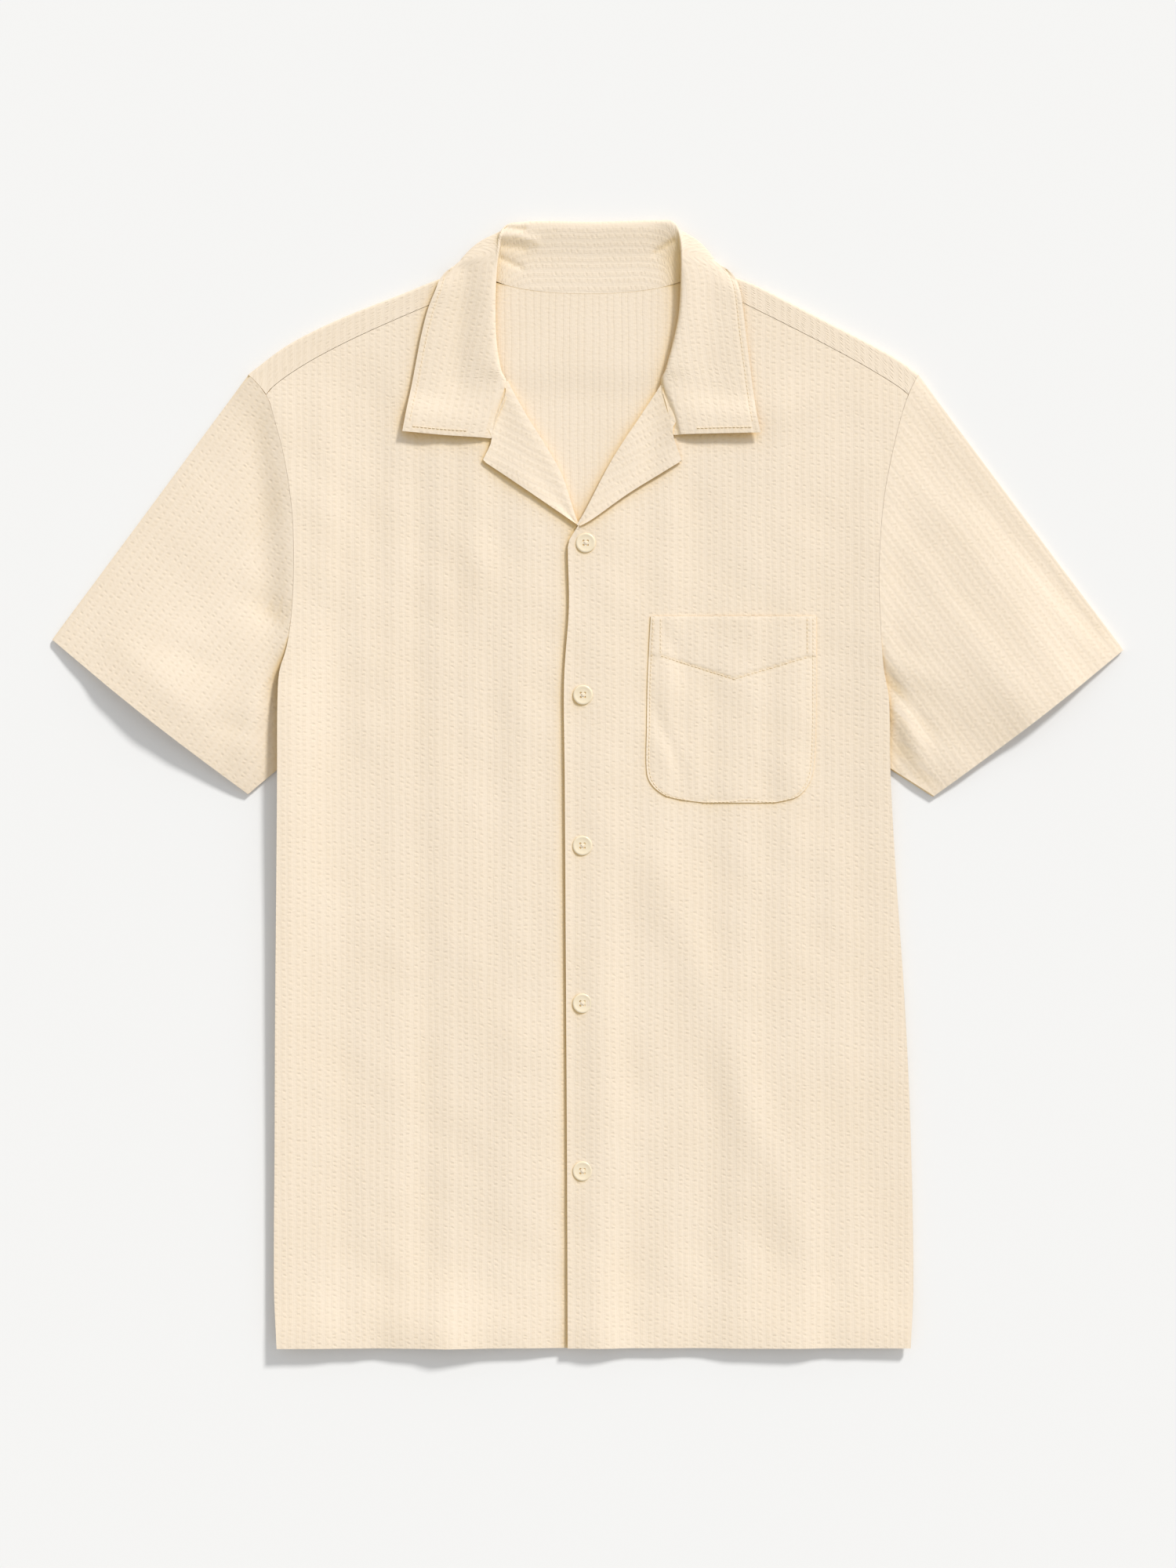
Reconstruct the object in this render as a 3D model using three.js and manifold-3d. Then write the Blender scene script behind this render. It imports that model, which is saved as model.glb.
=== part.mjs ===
// Camp shirt with short sleeves, buttoned and laid flat on its back panel.
// Millimetres. +X is the wearer's left, +Y runs from hem to collar, +Z points up from the surface it lies on.
import * as THREE from "three";
import { mergeVertices } from "three/addons/utils/BufferGeometryUtils.js";
import Module from "manifold-3d";

const wasm = await Module();
wasm.setup();

// Cloth and seams
const CLOTH = 1.2;
const POCKET_CLOTH = 1.0;
const SEAM_GAP = 0.3;
const ARMHOLE_GAP = 0.5;
const HALF = CLOTH / 2;
const PLY = CLOTH + SEAM_GAP;
const OVERLAP_RISE = CLOTH + 0.6;

// Body lengths
const HEM_Y = -388.3;
const ARMPIT_Y = 78;
const SHOULDER_TIP_Y = 282.5;
const SEAM_TIP_Y = 268;
const FRONT_EDGE_X = -14.5;
const UNDERLAP_X = 9.5;
const LAPEL_FOOT_Y = 178;

// Height of the air under the front panels
const EDGE_AIR = 0.3;
const CROWN = 2.1;
const MOST_AIR = 3.6;
const CROWN_RUN = 55;

// Buttons
const BUTTON_DIAMETER = 14;
const BUTTON_THICKNESS = 2.6;
const BUTTON_HOLE_DIAMETER = 1.9;
const BUTTON_HOLE_SPREAD = 1.75;
const BUTTON_LIFT = 0.55;

// Width of the laid body at its left and right edges, from hem to shoulder tip
const BODY_EDGES = [
  { y: HEM_Y, left: -214, right: 222 },
  { y: -345, left: -216, right: 224 },
  { y: -248, left: -215.5, right: 222.4 },
  { y: -150, left: -215, right: 218 },
  { y: -54, left: -214, right: 211.5 },
  { y: 8, left: -213.4, right: 208.2 },
  { y: 58, left: -213.2, right: 207.2 },
  { y: ARMPIT_Y, left: -212, right: 203.8 },
  { y: 93, left: -207.4, right: 202.3 },
  { y: 116, left: -204, right: 201 },
  { y: 146, left: -202.5, right: 200.2 },
  { y: 180, left: -203, right: 202 },
  { y: 204, left: -205.5, right: 204.8 },
  { y: 227, left: -209.5, right: 209.3 },
  { y: 250, left: -215.5, right: 214.8 },
  { y: 268, left: -221.5, right: 220.5 },
  { y: SHOULDER_TIP_Y, left: -233.8, right: 227.6 },
];

// Heights at which fronts, back and sleeves share a seam point, hem to shoulder tip
const HEM_STOPS = [HEM_Y, -345, -300, -255, -210, -165, -120, -75, -32];
const ARM_STOPS = [10, 45, 70, 84, 96, 120, 150, 185, 212, 232, 250, SEAM_TIP_Y, SHOULDER_TIP_Y];
const SIDE_STOPS = [...HEM_STOPS, ...ARM_STOPS];
const CHEST_STOPS = [135, 167, 198, 222, 241];

// The edge of each front towards the middle: front edge, roll line of the lapel, then the neck seam
const FRONT_ROWS = [
  { side: HEM_Y, rightX: UNDERLAP_X + 0.6, rightY: HEM_Y, leftX: -14, leftY: HEM_Y },
  { side: -248, rightX: UNDERLAP_X, rightY: -248, leftX: FRONT_EDGE_X, leftY: -248 },
  { side: -118, rightX: UNDERLAP_X - 1, rightY: -118, leftX: FRONT_EDGE_X - 0.8, leftY: -118 },
  { side: 0, rightX: UNDERLAP_X - 1, rightY: 0, leftX: FRONT_EDGE_X - 1.5, leftY: 0 },
  { side: 58, rightX: UNDERLAP_X - 1, rightY: 70, leftX: FRONT_EDGE_X - 2, leftY: 70 },
  { side: 93, rightX: UNDERLAP_X, rightY: 120, leftX: -13.2, leftY: 120 },
  { side: 116, rightX: UNDERLAP_X - 1, rightY: 146, leftX: -12.6, leftY: 156 },
  { side: 146, rightX: -10.5, rightY: 178, leftX: -6, leftY: 177 },
  { side: 180, rightX: -21.6, rightY: 214, leftX: 9, leftY: 203 },
  { side: 204, rightX: -36.4, rightY: 238, leftX: 25.8, leftY: 232 },
  { side: 227, rightX: -53.6, rightY: 261.2, leftX: 46, leftY: 261.2 },
  { side: 242, rightX: -74, rightY: 284, leftX: 66, leftY: 285 },
  { side: 252, rightX: -82.5, rightY: 303, leftX: 80, leftY: 303 },
  { side: 260, rightX: -86, rightY: 322, leftX: 86, leftY: 322 },
  { side: SEAM_TIP_Y, rightX: -85, rightY: 340, leftX: 85, leftY: 342 },
];

// The fold over the shoulders seen from above, tip to neck, and the neck seam of the back
const SHOULDER_FOLD = [
  { leftX: -233.8, leftY: SHOULDER_TIP_Y, rightX: 227.6, rightY: SHOULDER_TIP_Y },
  { leftX: -206, leftY: 303, rightX: 208, rightY: 296 },
  { leftX: -170, leftY: 321, rightX: 164, rightY: 319 },
  { leftX: -126, leftY: 338.5, rightX: 119, rightY: 342 },
  { leftX: -102, leftY: 348, rightX: 98, rightY: 350 },
  { leftX: -82, leftY: 353, rightX: 82, rightY: 354 },
];
const BACK_NECK = [
  { x: -62.6, y: 345.5 },
  { x: -45, y: 341.3 },
  { x: -22, y: 338.8 },
  { x: 2, y: 338.2 },
  { x: 24, y: 339 },
  { x: 44, y: 341.3 },
  { x: 60, y: 344.5 },
];

// Sleeves: corners of the cuff, and how far the hem bows out
const SLEEVES = {
  left: { side: 1, upper: [369.3, 92.6], lower: [237.6, -8.9], bow: 1.5 },
  right: { side: -1, upper: [-369.4, 99.6], lower: [-233.8, -7.3], bow: 1.5 },
};

// Soft folds in the fronts and sleeves: a ridge (or a trough where the height is negative) along a line
const FOLDS = [
  { x0: -177, y0: 120, x1: -181, y1: -60, width: 11, height: -0.9 },
  { x0: -75, y0: 170, x1: -46, y1: 30, width: 13, height: 0.8 },
  { x0: -150, y0: -80, x1: -140, y1: -385, width: 20, height: 0.9 },
  { x0: -95, y0: -120, x1: -92, y1: -385, width: 16, height: -0.7 },
  { x0: -48, y0: -160, x1: -52, y1: -385, width: 18, height: 0.7 },
  { x0: 45, y0: -45, x1: 145, y1: -320, width: 14, height: 0.9 },
  { x0: 5, y0: -138, x1: 36, y1: -330, width: 13, height: 0.7 },
  { x0: 38, y0: -260, x1: 34, y1: -385, width: 12, height: -0.9 },
  { x0: 180, y0: -40, x1: 186, y1: -385, width: 18, height: 0.8 },
  { x0: 122, y0: 251, x1: 176, y1: 285, width: 13, height: 0.9 },
  { x0: -228, y0: 262, x1: -222, y1: 120, width: 9, height: -0.8 },
  { x0: -225, y0: 70, x1: -240, y1: 10, width: 9, height: 0.9 },
  { x0: 209, y0: 60, x1: 232, y1: 10, width: 9, height: 0.9 },
  { x0: 255, y0: 190, x1: 320, y1: 100, width: 16, height: 0.7 },
  { x0: -255, y0: 200, x1: -320, y1: 105, width: 18, height: 0.7 },
];

// Collar stations from the front end of the right leaf, round the back, to the left one.
// n: neck seam, r: roll line, l: middle of the leaf, e: outer edge. out: outward direction in plan.
// stand and leaf: the angle at which each leaves the roll, above the outward direction.
const COLLAR = [
  { n: [-66.6, 238, 5.6], r: [-70.5, 238.2, 5.7], l: [-99, 240, 5.7], e: [-127.6, 242.6, 5.7], out: 175, stand: 180, leaf: 0 },
  { n: [-62.6, 252, 5.6], r: [-66, 252.5, 5.8], l: [-96, 256, 5.9], e: [-124.3, 260, 5.7], out: 175, stand: 200, leaf: 10 },
  { n: [-57.4, 266.8, 5.8], r: [-53.4, 271, 6.4], l: [-91, 272, 6.2], e: [-121, 276, 5.7], out: 165, stand: 240, leaf: 25 },
  { n: [-68, 284.5, 4.2], r: [-60, 284.5, 6.4], l: [-89, 288, 6.4], e: [-118, 292, 5.8], out: 172, stand: 310, leaf: 50 },
  { n: [-77, 303, 4.2], r: [-63, 302, 6.6], l: [-90, 305, 6.8], e: [-114.5, 309.5, 6], out: 170, stand: 310, leaf: 50 },
  { n: [-81.6, 321.5, 4.2], r: [-64, 322, 7], l: [-88, 325, 7.2], e: [-109.8, 327.5, 6.2], out: 166, stand: 310, leaf: 50 },
  { n: [-81, 338, 4.2], r: [-63.8, 342, 7.8], l: [-84, 345, 8], e: [-106, 341, 6.4], out: 160, stand: 300, leaf: 40 },
  { n: [-75, 347.6, 4], r: [-62.8, 357, 9], l: [-84, 359, 7.6], e: [-105.3, 350.5, 3.2], out: 150, stand: 285, leaf: 10 },
  { n: [-69, 347.5, 3.4], r: [-61.6, 368, 9.6], l: [-90, 361.6, 4], e: [-92, 338, 0.6], out: 140, stand: 255, leaf: -25 },
  { n: [-63.4, 346.4, 2.6], r: [-60.5, 378.5, 8.4], l: [-77.5, 373.8, 3], e: [-78, 325, 0.6], out: 120, stand: 200, leaf: -70 },
  { n: [-56, 344.3, 2.2], r: [-55, 385, 5.6], l: [-60, 360, 0.9], e: [-62, 317, 0.6], out: 100, stand: 150, leaf: -115 },
  { n: [-44, 341.7, 2.1], r: [-44, 387, 4], l: [-45, 350, 0.6], e: [-46, 313, 0.6], out: 92, stand: 130, leaf: -130 },
  { n: [-22, 339.2, 2.1], r: [-22, 387.4, 3.7], l: [-22, 349, 0.6], e: [-22, 311.5, 0.6], out: 90, stand: 130, leaf: -130 },
  { n: [2, 338.6, 2.1], r: [2, 387, 3.7], l: [2, 349, 0.6], e: [2, 311, 0.6], out: 90, stand: 130, leaf: -130 },
  { n: [24, 339.4, 2.1], r: [26, 387.5, 3.7], l: [25, 349, 0.6], e: [24, 311.5, 0.6], out: 90, stand: 130, leaf: -130 },
  { n: [44, 341.7, 2.1], r: [47, 388, 4], l: [47, 350, 0.6], e: [47, 313, 0.6], out: 88, stand: 130, leaf: -130 },
  { n: [54, 343.7, 2.2], r: [58, 387, 5.6], l: [61, 360, 0.9], e: [62, 317, 0.6], out: 78, stand: 150, leaf: -115 },
  { n: [61, 345.2, 2.6], r: [62.6, 381, 8.4], l: [73, 376, 3], e: [77, 325, 0.6], out: 58, stand: 200, leaf: -70 },
  { n: [67, 347, 3.4], r: [64.4, 368, 9.6], l: [88, 362.6, 4], e: [91, 338, 0.6], out: 40, stand: 255, leaf: -25 },
  { n: [74, 348, 4], r: [64.4, 356, 9], l: [83, 360, 7.6], e: [103.3, 352.5, 3.2], out: 30, stand: 285, leaf: 10 },
  { n: [80.5, 338, 4.2], r: [64, 341, 8], l: [84, 346, 8.2], e: [104.6, 339, 6.4], out: 20, stand: 300, leaf: 40 },
  { n: [81, 321.5, 4.2], r: [62.6, 322, 7.6], l: [85, 325, 7.6], e: [107, 324, 6.2], out: 14, stand: 310, leaf: 50 },
  { n: [74, 303, 4.2], r: [58.4, 302, 7], l: [84, 304, 7], e: [109.2, 305, 6], out: 10, stand: 310, leaf: 50 },
  { n: [60, 285.5, 4.2], r: [54, 286, 6.6], l: [83, 287, 6.4], e: [111.4, 288, 5.8], out: 8, stand: 310, leaf: 50 },
  { n: [50.6, 268.6, 5.8], r: [47.6, 273.6, 6.5], l: [82, 272, 6.2], e: [113.6, 271.5, 5.7], out: 10, stand: 240, leaf: 25 },
  { n: [55.4, 256, 5.6], r: [59, 256, 5.8], l: [87, 257, 5.9], e: [115.8, 256, 5.7], out: 5, stand: 200, leaf: 10 },
  { n: [59.4, 241.6, 5.6], r: [63.4, 241.6, 5.7], l: [90, 242.6, 5.7], e: [118.6, 243, 5.7], out: 5, stand: 180, leaf: 0 },
];
const ROLL_LEG = 2.2;
const LEAF_CLEARANCE = 3.4;
const COLLAR_STEPS_ALONG = 64;
const COLLAR_STEPS_ACROSS = 12;

// Lapels: roll line against the free edge, foot to gorge, and the width folded back inside
const LAPELS = {
  right: {
    side: -1,
    rows: [
      { rollX: -9.4, rollY: 182, edgeX: -13.5, edgeY: 180.8 },
      { rollX: -18, rollY: 212, edgeX: -40, edgeY: 200.8 },
      { rollX: -29, rollY: 232, edgeX: -58, edgeY: 213 },
      { rollX: -41.4, rollY: 252, edgeX: -72.6, edgeY: 222.6 },
      { rollX: -51, rollY: 266.5, edgeX: -66.6, edgeY: 236.6 },
    ],
  },
  left: {
    side: 1,
    rows: [
      { rollX: -2.4, rollY: 187, edgeX: 1, edgeY: 182 },
      { rollX: 12.4, rollY: 215, edgeX: 28, edgeY: 200 },
      { rollX: 22.4, rollY: 232, edgeX: 50, edgeY: 213.6 },
      { rollX: 33.6, rollY: 250, edgeX: 64.6, edgeY: 222.6 },
      { rollX: 43.6, rollY: 266.5, edgeX: 58.6, edgeY: 240.2 },
    ],
  },
};
const FACING_RETURN = 12;
const RETURN_ROOM = 0.3;

// Pocket rows, mouth to bottom
const POCKET_ROWS = [
  { y: 115.5, left: 43.2, right: 157 },
  { y: 92, left: 42, right: 157 },
  { y: 70, left: 41, right: 157 },
  { y: 40, left: 40.5, right: 156.8 },
  { y: 13, left: 40.2, right: 155.5 },
  { y: 2, left: 42.4, right: 152.8 },
  { y: -6, left: 50, right: 147.4 },
  { y: -10, left: 60, right: 141 },
  { y: -12.8, left: 80, right: 128 },
];
const POCKET_MOUTH_GAPE = 0.8;

const BUTTONS = [
  { x: -1.6, y: 166 },
  { x: -3.5, y: 61.3 },
  { x: -3.8, y: -42.4 },
  { x: -3.8, y: -151 },
  { x: -3.8, y: -266.5 },
];

const CREAM = 0xf3e3cd;
const IVORY = 0xeedfc2;
const cloth = () => new THREE.MeshStandardMaterial({ color: CREAM, roughness: 0.9, metalness: 0 });
const plastic = () => new THREE.MeshStandardMaterial({ color: IVORY, roughness: 0.4, metalness: 0 });

const shirt = new THREE.Group();

// Plain helpers
const clamp01 = (t) => Math.min(1, Math.max(0, t));
const ease = (t) => clamp01(t) ** 2 * (3 - 2 * clamp01(t));
const mix = (a, b, t) => a + (b - a) * t;
const radians = THREE.MathUtils.degToRad;

// Smooth curve through a table's rows, read by one column that always grows
function along(rows, key, column) {
  const sorted = [...rows].sort((a, b) => a[key] - b[key]);
  return (at) => {
    let i = 0;
    while (i < sorted.length - 2 && at > sorted[i + 1][key]) i += 1;
    const row = (k) => sorted[Math.min(sorted.length - 1, Math.max(0, k))];
    const span = row(i + 1)[key] - row(i)[key];
    const t = clamp01((at - row(i)[key]) / span);
    const slope = (k) => (row(k + 1)[column] - row(k - 1)[column]) / (row(k + 1)[key] - row(k - 1)[key]);
    const a = row(i)[column];
    const b = row(i + 1)[column];
    const rise = t * t * (3 - 2 * t);
    const lead = t * (1 - t) * (1 - t) * span * slope(i);
    const tail = t * t * (1 - t) * span * slope(i + 1);
    return a + (b - a) * rise + lead - tail;
  };
}

// The same curve with the rows taken as evenly spaced, read from 0 to 1
function evenly(rows, column) {
  const numbered = rows.map((row, i) => ({ step: i / (rows.length - 1), value: row[column] }));
  return along(numbered, "step", "value");
}

const leftEdge = along(BODY_EDGES, "y", "left");
const rightEdge = along(BODY_EDGES, "y", "right");

// Height of one fold at a point, faded at both ends of its line
function foldHeight(fold, x, y) {
  const dx = fold.x1 - fold.x0;
  const dy = fold.y1 - fold.y0;
  const length = Math.hypot(dx, dy);
  const run = ((x - fold.x0) * dx + (y - fold.y0) * dy) / length;
  const off = ((x - fold.x0) * dy - (y - fold.y0) * dx) / length;
  const fade = ease(run / 40 + 0.5) * ease((length - run) / 40 + 0.5);
  return fold.height * fade * Math.exp(-((off / fold.width) ** 2));
}

// Underside of the front layer above the surface
function frontUnder(x, y) {
  const sideGap = Math.min(x - leftEdge(Math.min(y, ARMPIT_Y)), rightEdge(Math.min(y, ARMPIT_Y)) - x);
  const atSide = ease(sideGap / CROWN_RUN);
  const edge = mix(atSide, 1, ease((y - 40) / 70));
  const wave = 0.35 * Math.sin(x / 17) + 0.25 * Math.sin(x / 29 + y / 90);
  const folds = FOLDS.reduce((sum, fold) => sum + foldHeight(fold, x, y), 0);
  const calm = ease((300 - y) / 60);
  const air = EDGE_AIR + edge * (CROWN + calm * (wave + folds));
  return CLOTH + Math.min(MOST_AIR, Math.max(EDGE_AIR, air));
}

// Extra height of the left front where it lies on the right one
function overlapRise(x, y) {
  return OVERLAP_RISE * ease((36 - x) / 24) * (1 - ease((y - 188) / 40));
}

// Closed wall round a grid of middle points. has(i, j) says which cells hold cloth.
function wallGeometry(rows, thickness, { ring = false, has = () => true } = {}) {
  const ni = rows.length;
  const nj = rows[0].length;
  const at = (i, j) => rows[Math.min(ni - 1, Math.max(0, i))][ring ? (j + nj) % nj : Math.min(nj - 1, Math.max(0, j))];
  const cellHas = (i, j) => i >= 0 && i < ni - 1 && (ring || (j >= 0 && j < nj - 1)) && has(i, ring ? (j + nj) % nj : j);
  const normalOf = (i, j) => {
    const sum = new THREE.Vector3();
    for (const [a, b] of [[-1, -1], [-1, 0], [0, -1], [0, 0]]) {
      if (!cellHas(i + a, j + b)) continue;
      const p = at(i + a, j + b);
      const q = at(i + a + 1, j + b + 1);
      const r = at(i + a + 1, j + b);
      const s = at(i + a, j + b + 1);
      const cross = q.clone().sub(p).cross(s.clone().sub(r));
      sum.add(cross.normalize());
    }
    return sum.lengthSq() > 0 ? sum.normalize() : new THREE.Vector3(0, 0, 1);
  };
  const positions = [];
  const half = thickness / 2;
  const top = (i, j) => 2 * (i * nj + (ring ? (j + nj) % nj : j));
  for (let i = 0; i < ni; i += 1) {
    for (let j = 0; j < nj; j += 1) {
      const n = normalOf(i, j);
      const p = rows[i][j];
      positions.push(p.x + n.x * half, p.y + n.y * half, p.z + n.z * half);
      positions.push(p.x - n.x * half, p.y - n.y * half, p.z - n.z * half);
    }
  }
  const faces = [];
  const quad = (a, b, c, d) => faces.push(a, b, c, a, c, d);
  for (let i = 0; i < ni - 1; i += 1) {
    for (let j = 0; j < (ring ? nj : nj - 1); j += 1) {
      if (!cellHas(i, j)) continue;
      const [a, b, c, d] = [top(i, j), top(i + 1, j), top(i + 1, j + 1), top(i, j + 1)];
      quad(a, b, c, d);
      quad(d + 1, c + 1, b + 1, a + 1);
      if (!cellHas(i - 1, j)) quad(d, d + 1, a + 1, a);
      if (!cellHas(i + 1, j)) quad(b, b + 1, c + 1, c);
      if (!ring && !cellHas(i, j - 1)) quad(a, a + 1, b + 1, b);
      if (!ring && !cellHas(i, j + 1)) quad(c, c + 1, d + 1, d);
    }
  }
  return solidFrom(positions, faces);
}

// Geometry with only the used points, turned so that its faces look out
function solidFrom(positions, faces) {
  const geometry = new THREE.BufferGeometry();
  geometry.setAttribute("position", new THREE.Float32BufferAttribute(positions, 3));
  geometry.setIndex(faces);
  const flat = geometry.toNonIndexed();
  const p = flat.attributes.position;
  let volume = 0;
  const [a, b, c] = [new THREE.Vector3(), new THREE.Vector3(), new THREE.Vector3()];
  for (let i = 0; i < p.count; i += 3) {
    a.fromBufferAttribute(p, i);
    b.fromBufferAttribute(p, i + 1);
    c.fromBufferAttribute(p, i + 2);
    volume += a.dot(b.cross(c));
  }
  if (volume < 0) {
    for (let i = 0; i < faces.length; i += 3) [faces[i + 1], faces[i + 2]] = [faces[i + 2], faces[i + 1]];
    geometry.setIndex(faces);
  }
  const used = geometry.toNonIndexed();
  const merged = mergeVertices(used, 1e-4);
  merged.computeVertexNormals();
  return merged;
}

function addMesh(name, geometry, material) {
  const mesh = new THREE.Mesh(geometry, material);
  mesh.name = name;
  shirt.add(mesh);
}

// Back panel with its two shoulder strips
function liftOverLeaf(x, y) {
  return PLY * ease((y - 264) / 26) * (1 - ease((Math.abs(x) - 108) / 26));
}

function buildBack() {
  const shoulderSteps = 9;
  const neckSteps = 8;
  const columns = 2 * shoulderSteps + neckSteps;
  const neckX = evenly(BACK_NECK, "x");
  const neckY = evenly(BACK_NECK, "y");
  const fold = (side, t) => [evenly(SHOULDER_FOLD, side + "X")(t), evenly(SHOULDER_FOLD, side + "Y")(t)];
  const topEdge = (j) => {
    if (j <= shoulderSteps) return fold("left", j / shoulderSteps);
    if (j >= shoulderSteps + neckSteps) return fold("right", (columns - j) / shoulderSteps);
    const t = (j - shoulderSteps) / neckSteps;
    const k = (t * neckSteps - 1) / (neckSteps - 2);
    return [neckX(clamp01(k)), neckY(clamp01(k))];
  };
  const isShoulder = (j) => j <= shoulderSteps || j >= shoulderSteps + neckSteps;
  const inward = (j) => {
    const side = j <= shoulderSteps ? -1 : 1;
    return new THREE.Vector3(-side * 0.42, -0.91, 0);
  };
  const turnIn = (j) => {
    const [x, y] = topEdge(j);
    return isShoulder(j) ? inward(j).multiplyScalar(frontUnder(x, y) / 2) : new THREE.Vector3();
  };
  const topSideY = SHOULDER_TIP_Y + turnIn(0).y;
  const sideStops = [...SIDE_STOPS.slice(0, -1), topSideY];
  const panelSteps = sideStops.length - 1;
  const rows = sideStops.map((sideY) => {
    const rise = ((sideY - HEM_Y) / (topSideY - HEM_Y)) ** 6;
    const row = [];
    for (let j = 0; j <= columns; j += 1) {
      const u = j / columns;
      const [topX, topY] = topEdge(j);
      const turned = turnIn(j);
      const atTop = mix(leftEdge(topSideY), rightEdge(topSideY), u);
      const isEnd = j === 0 || j === columns;
      const shift = isEnd ? 0 : topX + turned.x - atTop;
      const x = mix(leftEdge(sideY), rightEdge(sideY), u) + rise * shift;
      const y = sideY + rise * (topY + turned.y - topSideY);
      row.push(new THREE.Vector3(x, y, HALF + liftOverLeaf(x, y)));
    }
    return row;
  });
  // Strips: round the fold, then down the front to the seam
  const seam = (j) => {
    const side = j <= shoulderSteps ? "left" : "right";
    const last = FRONT_ROWS[FRONT_ROWS.length - 1];
    const first = side === "left" ? [leftEdge(last.side), last.side] : [rightEdge(last.side), last.side];
    const end = side === "left" ? [last.rightX, last.rightY] : [last.leftX, last.leftY];
    const t = (side === "left" ? j : columns - j) / shoulderSteps;
    return [mix(first[0], end[0], t), mix(first[1], end[1], t)];
  };
  const stripSteps = 4;
  for (let k = 0; k <= stripSteps; k += 1) {
    const row = [];
    for (let j = 0; j <= columns; j += 1) {
      if (!isShoulder(j)) {
        row.push(rows[panelSteps][j].clone());
        continue;
      }
      const [fx, fy] = topEdge(j);
      const inside = inward(j);
      const under = frontUnder(fx, fy);
      const lift = liftOverLeaf(fx, fy);
      const topZ = Math.max(under, lift + CLOTH + EDGE_AIR) + HALF;
      const radius = under / 2;
      const alongEdge = (x, y) => {
        if (j === 0) return leftEdge(y);
        return j === columns ? rightEdge(y) : x;
      };
      if (k === 0) {
        const y = fy + inside.y * HALF;
        row.push(new THREE.Vector3(alongEdge(fx + inside.x * HALF, y), y, (topZ + HALF + lift) / 2));
        continue;
      }
      const t = (k - 1) / (stripSteps - 1);
      const [sx, sy] = seam(j);
      const fromX = fx + inside.x * radius;
      const fromY = fy + inside.y * radius;
      const y = mix(fromY, sy - inside.y * SEAM_GAP, t);
      const x = alongEdge(mix(fromX, sx - inside.x * SEAM_GAP, t), y);
      row.push(new THREE.Vector3(x, y, Math.max(frontUnder(x, y), liftOverLeaf(x, y) + CLOTH + EDGE_AIR) + HALF));
    }
    rows.push(row);
  }
  const has = (i, j) => i < panelSteps || (isShoulder(j) && isShoulder(j + 1));
  addMesh("back", wallGeometry(rows, CLOTH, { has }), cloth());
}

// Place in the front's table, 0 to 1, at which its side edge is at a given height
function rowAt(sideY) {
  const height = evenly(FRONT_ROWS, "side");
  let low = 0;
  let high = 1;
  for (let k = 0; k < 40; k += 1) {
    const middle = (low + high) / 2;
    if (height(middle) < sideY) low = middle;
    else high = middle;
  }
  return (low + high) / 2;
}

// Front panels as rows from the side to the middle
function frontSurface(side) {
  const middleX = evenly(FRONT_ROWS, side + "X");
  const middleY = evenly(FRONT_ROWS, side + "Y");
  const sideY = evenly(FRONT_ROWS, "side");
  const edge = side === "right" ? leftEdge : rightEdge;
  const rise = side === "left" ? overlapRise : () => 0;
  return (v, u) => {
    const y0 = sideY(v);
    const x = mix(edge(y0), middleX(v), u);
    const y = mix(y0, middleY(v), u);
    return new THREE.Vector3(x, y, frontUnder(x, y) + rise(x, y) + HALF);
  };
}

function buildFront(side) {
  const surface = frontSurface(side);
  const across = 11;
  const stops = [...SIDE_STOPS.slice(0, -1), ...CHEST_STOPS].sort((a, b) => a - b);
  const rows = stops.map((sideY) => {
    const v = rowAt(sideY);
    return Array.from({ length: across + 1 }, (_, j) => surface(v, j / across));
  });
  addMesh("front_" + side, wallGeometry(rows, CLOTH), cloth());
}

// Lapel: a return inside the front, round the roll line, then flat on the front
function buildFacing(side) {
  const { rows: table, side: sign } = LAPELS[side];
  const rise = side === "left" ? overlapRise : () => 0;
  const rollX = evenly(table, "rollX");
  const rollY = evenly(table, "rollY");
  const edgeX = evenly(table, "edgeX");
  const edgeY = evenly(table, "edgeY");
  const steps = 10;
  const flatSteps = 4;
  const rows = [];
  for (let i = 0; i <= steps; i += 1) {
    const v = i / steps;
    const roll = new THREE.Vector2(rollX(v), rollY(v));
    const free = new THREE.Vector2(edgeX(v), edgeY(v));
    const out = new THREE.Vector2(sign * 0.83, -0.56);
    const under = frontUnder(roll.x, roll.y) + rise(roll.x, roll.y);
    const underAt = (x, y) => frontUnder(x, y) + rise(x, y) - SEAM_GAP - RETURN_ROOM - HALF;
    const highZ = (x, y) => frontUnder(x, y) + rise(x, y) + CLOTH + SEAM_GAP + HALF;
    const row = [];
    const returnX = roll.x + out.x * FACING_RETURN;
    const returnY = roll.y + out.y * FACING_RETURN;
    row.push(new THREE.Vector3(returnX, returnY, underAt(returnX, returnY)));
    row.push(new THREE.Vector3(roll.x + out.x, roll.y + out.y, underAt(roll.x, roll.y)));
    row.push(new THREE.Vector3(roll.x - out.x * 0.6, roll.y - out.y * 0.6, under + HALF));
    for (let j = 0; j <= flatSteps; j += 1) {
      const start = roll.clone().addScaledVector(out, 1);
      const at = start.lerp(free, j / flatSteps);
      row.push(new THREE.Vector3(at.x, at.y, highZ(at.x, at.y)));
    }
    rows.push(row);
  }
  addMesh("facing_" + side, wallGeometry(rows, CLOTH), cloth());
}

// Top edge of the back panel seen from above: shoulder fold, then neck seam
function backTopY(x) {
  const rows = [
    ...SHOULDER_FOLD.map(({ leftX, leftY }) => ({ x: leftX, y: leftY })),
    ...BACK_NECK,
    ...SHOULDER_FOLD.map(({ rightX, rightY }) => ({ x: rightX, y: rightY })),
  ];
  return along(rows, "x", "y")(x);
}

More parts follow.
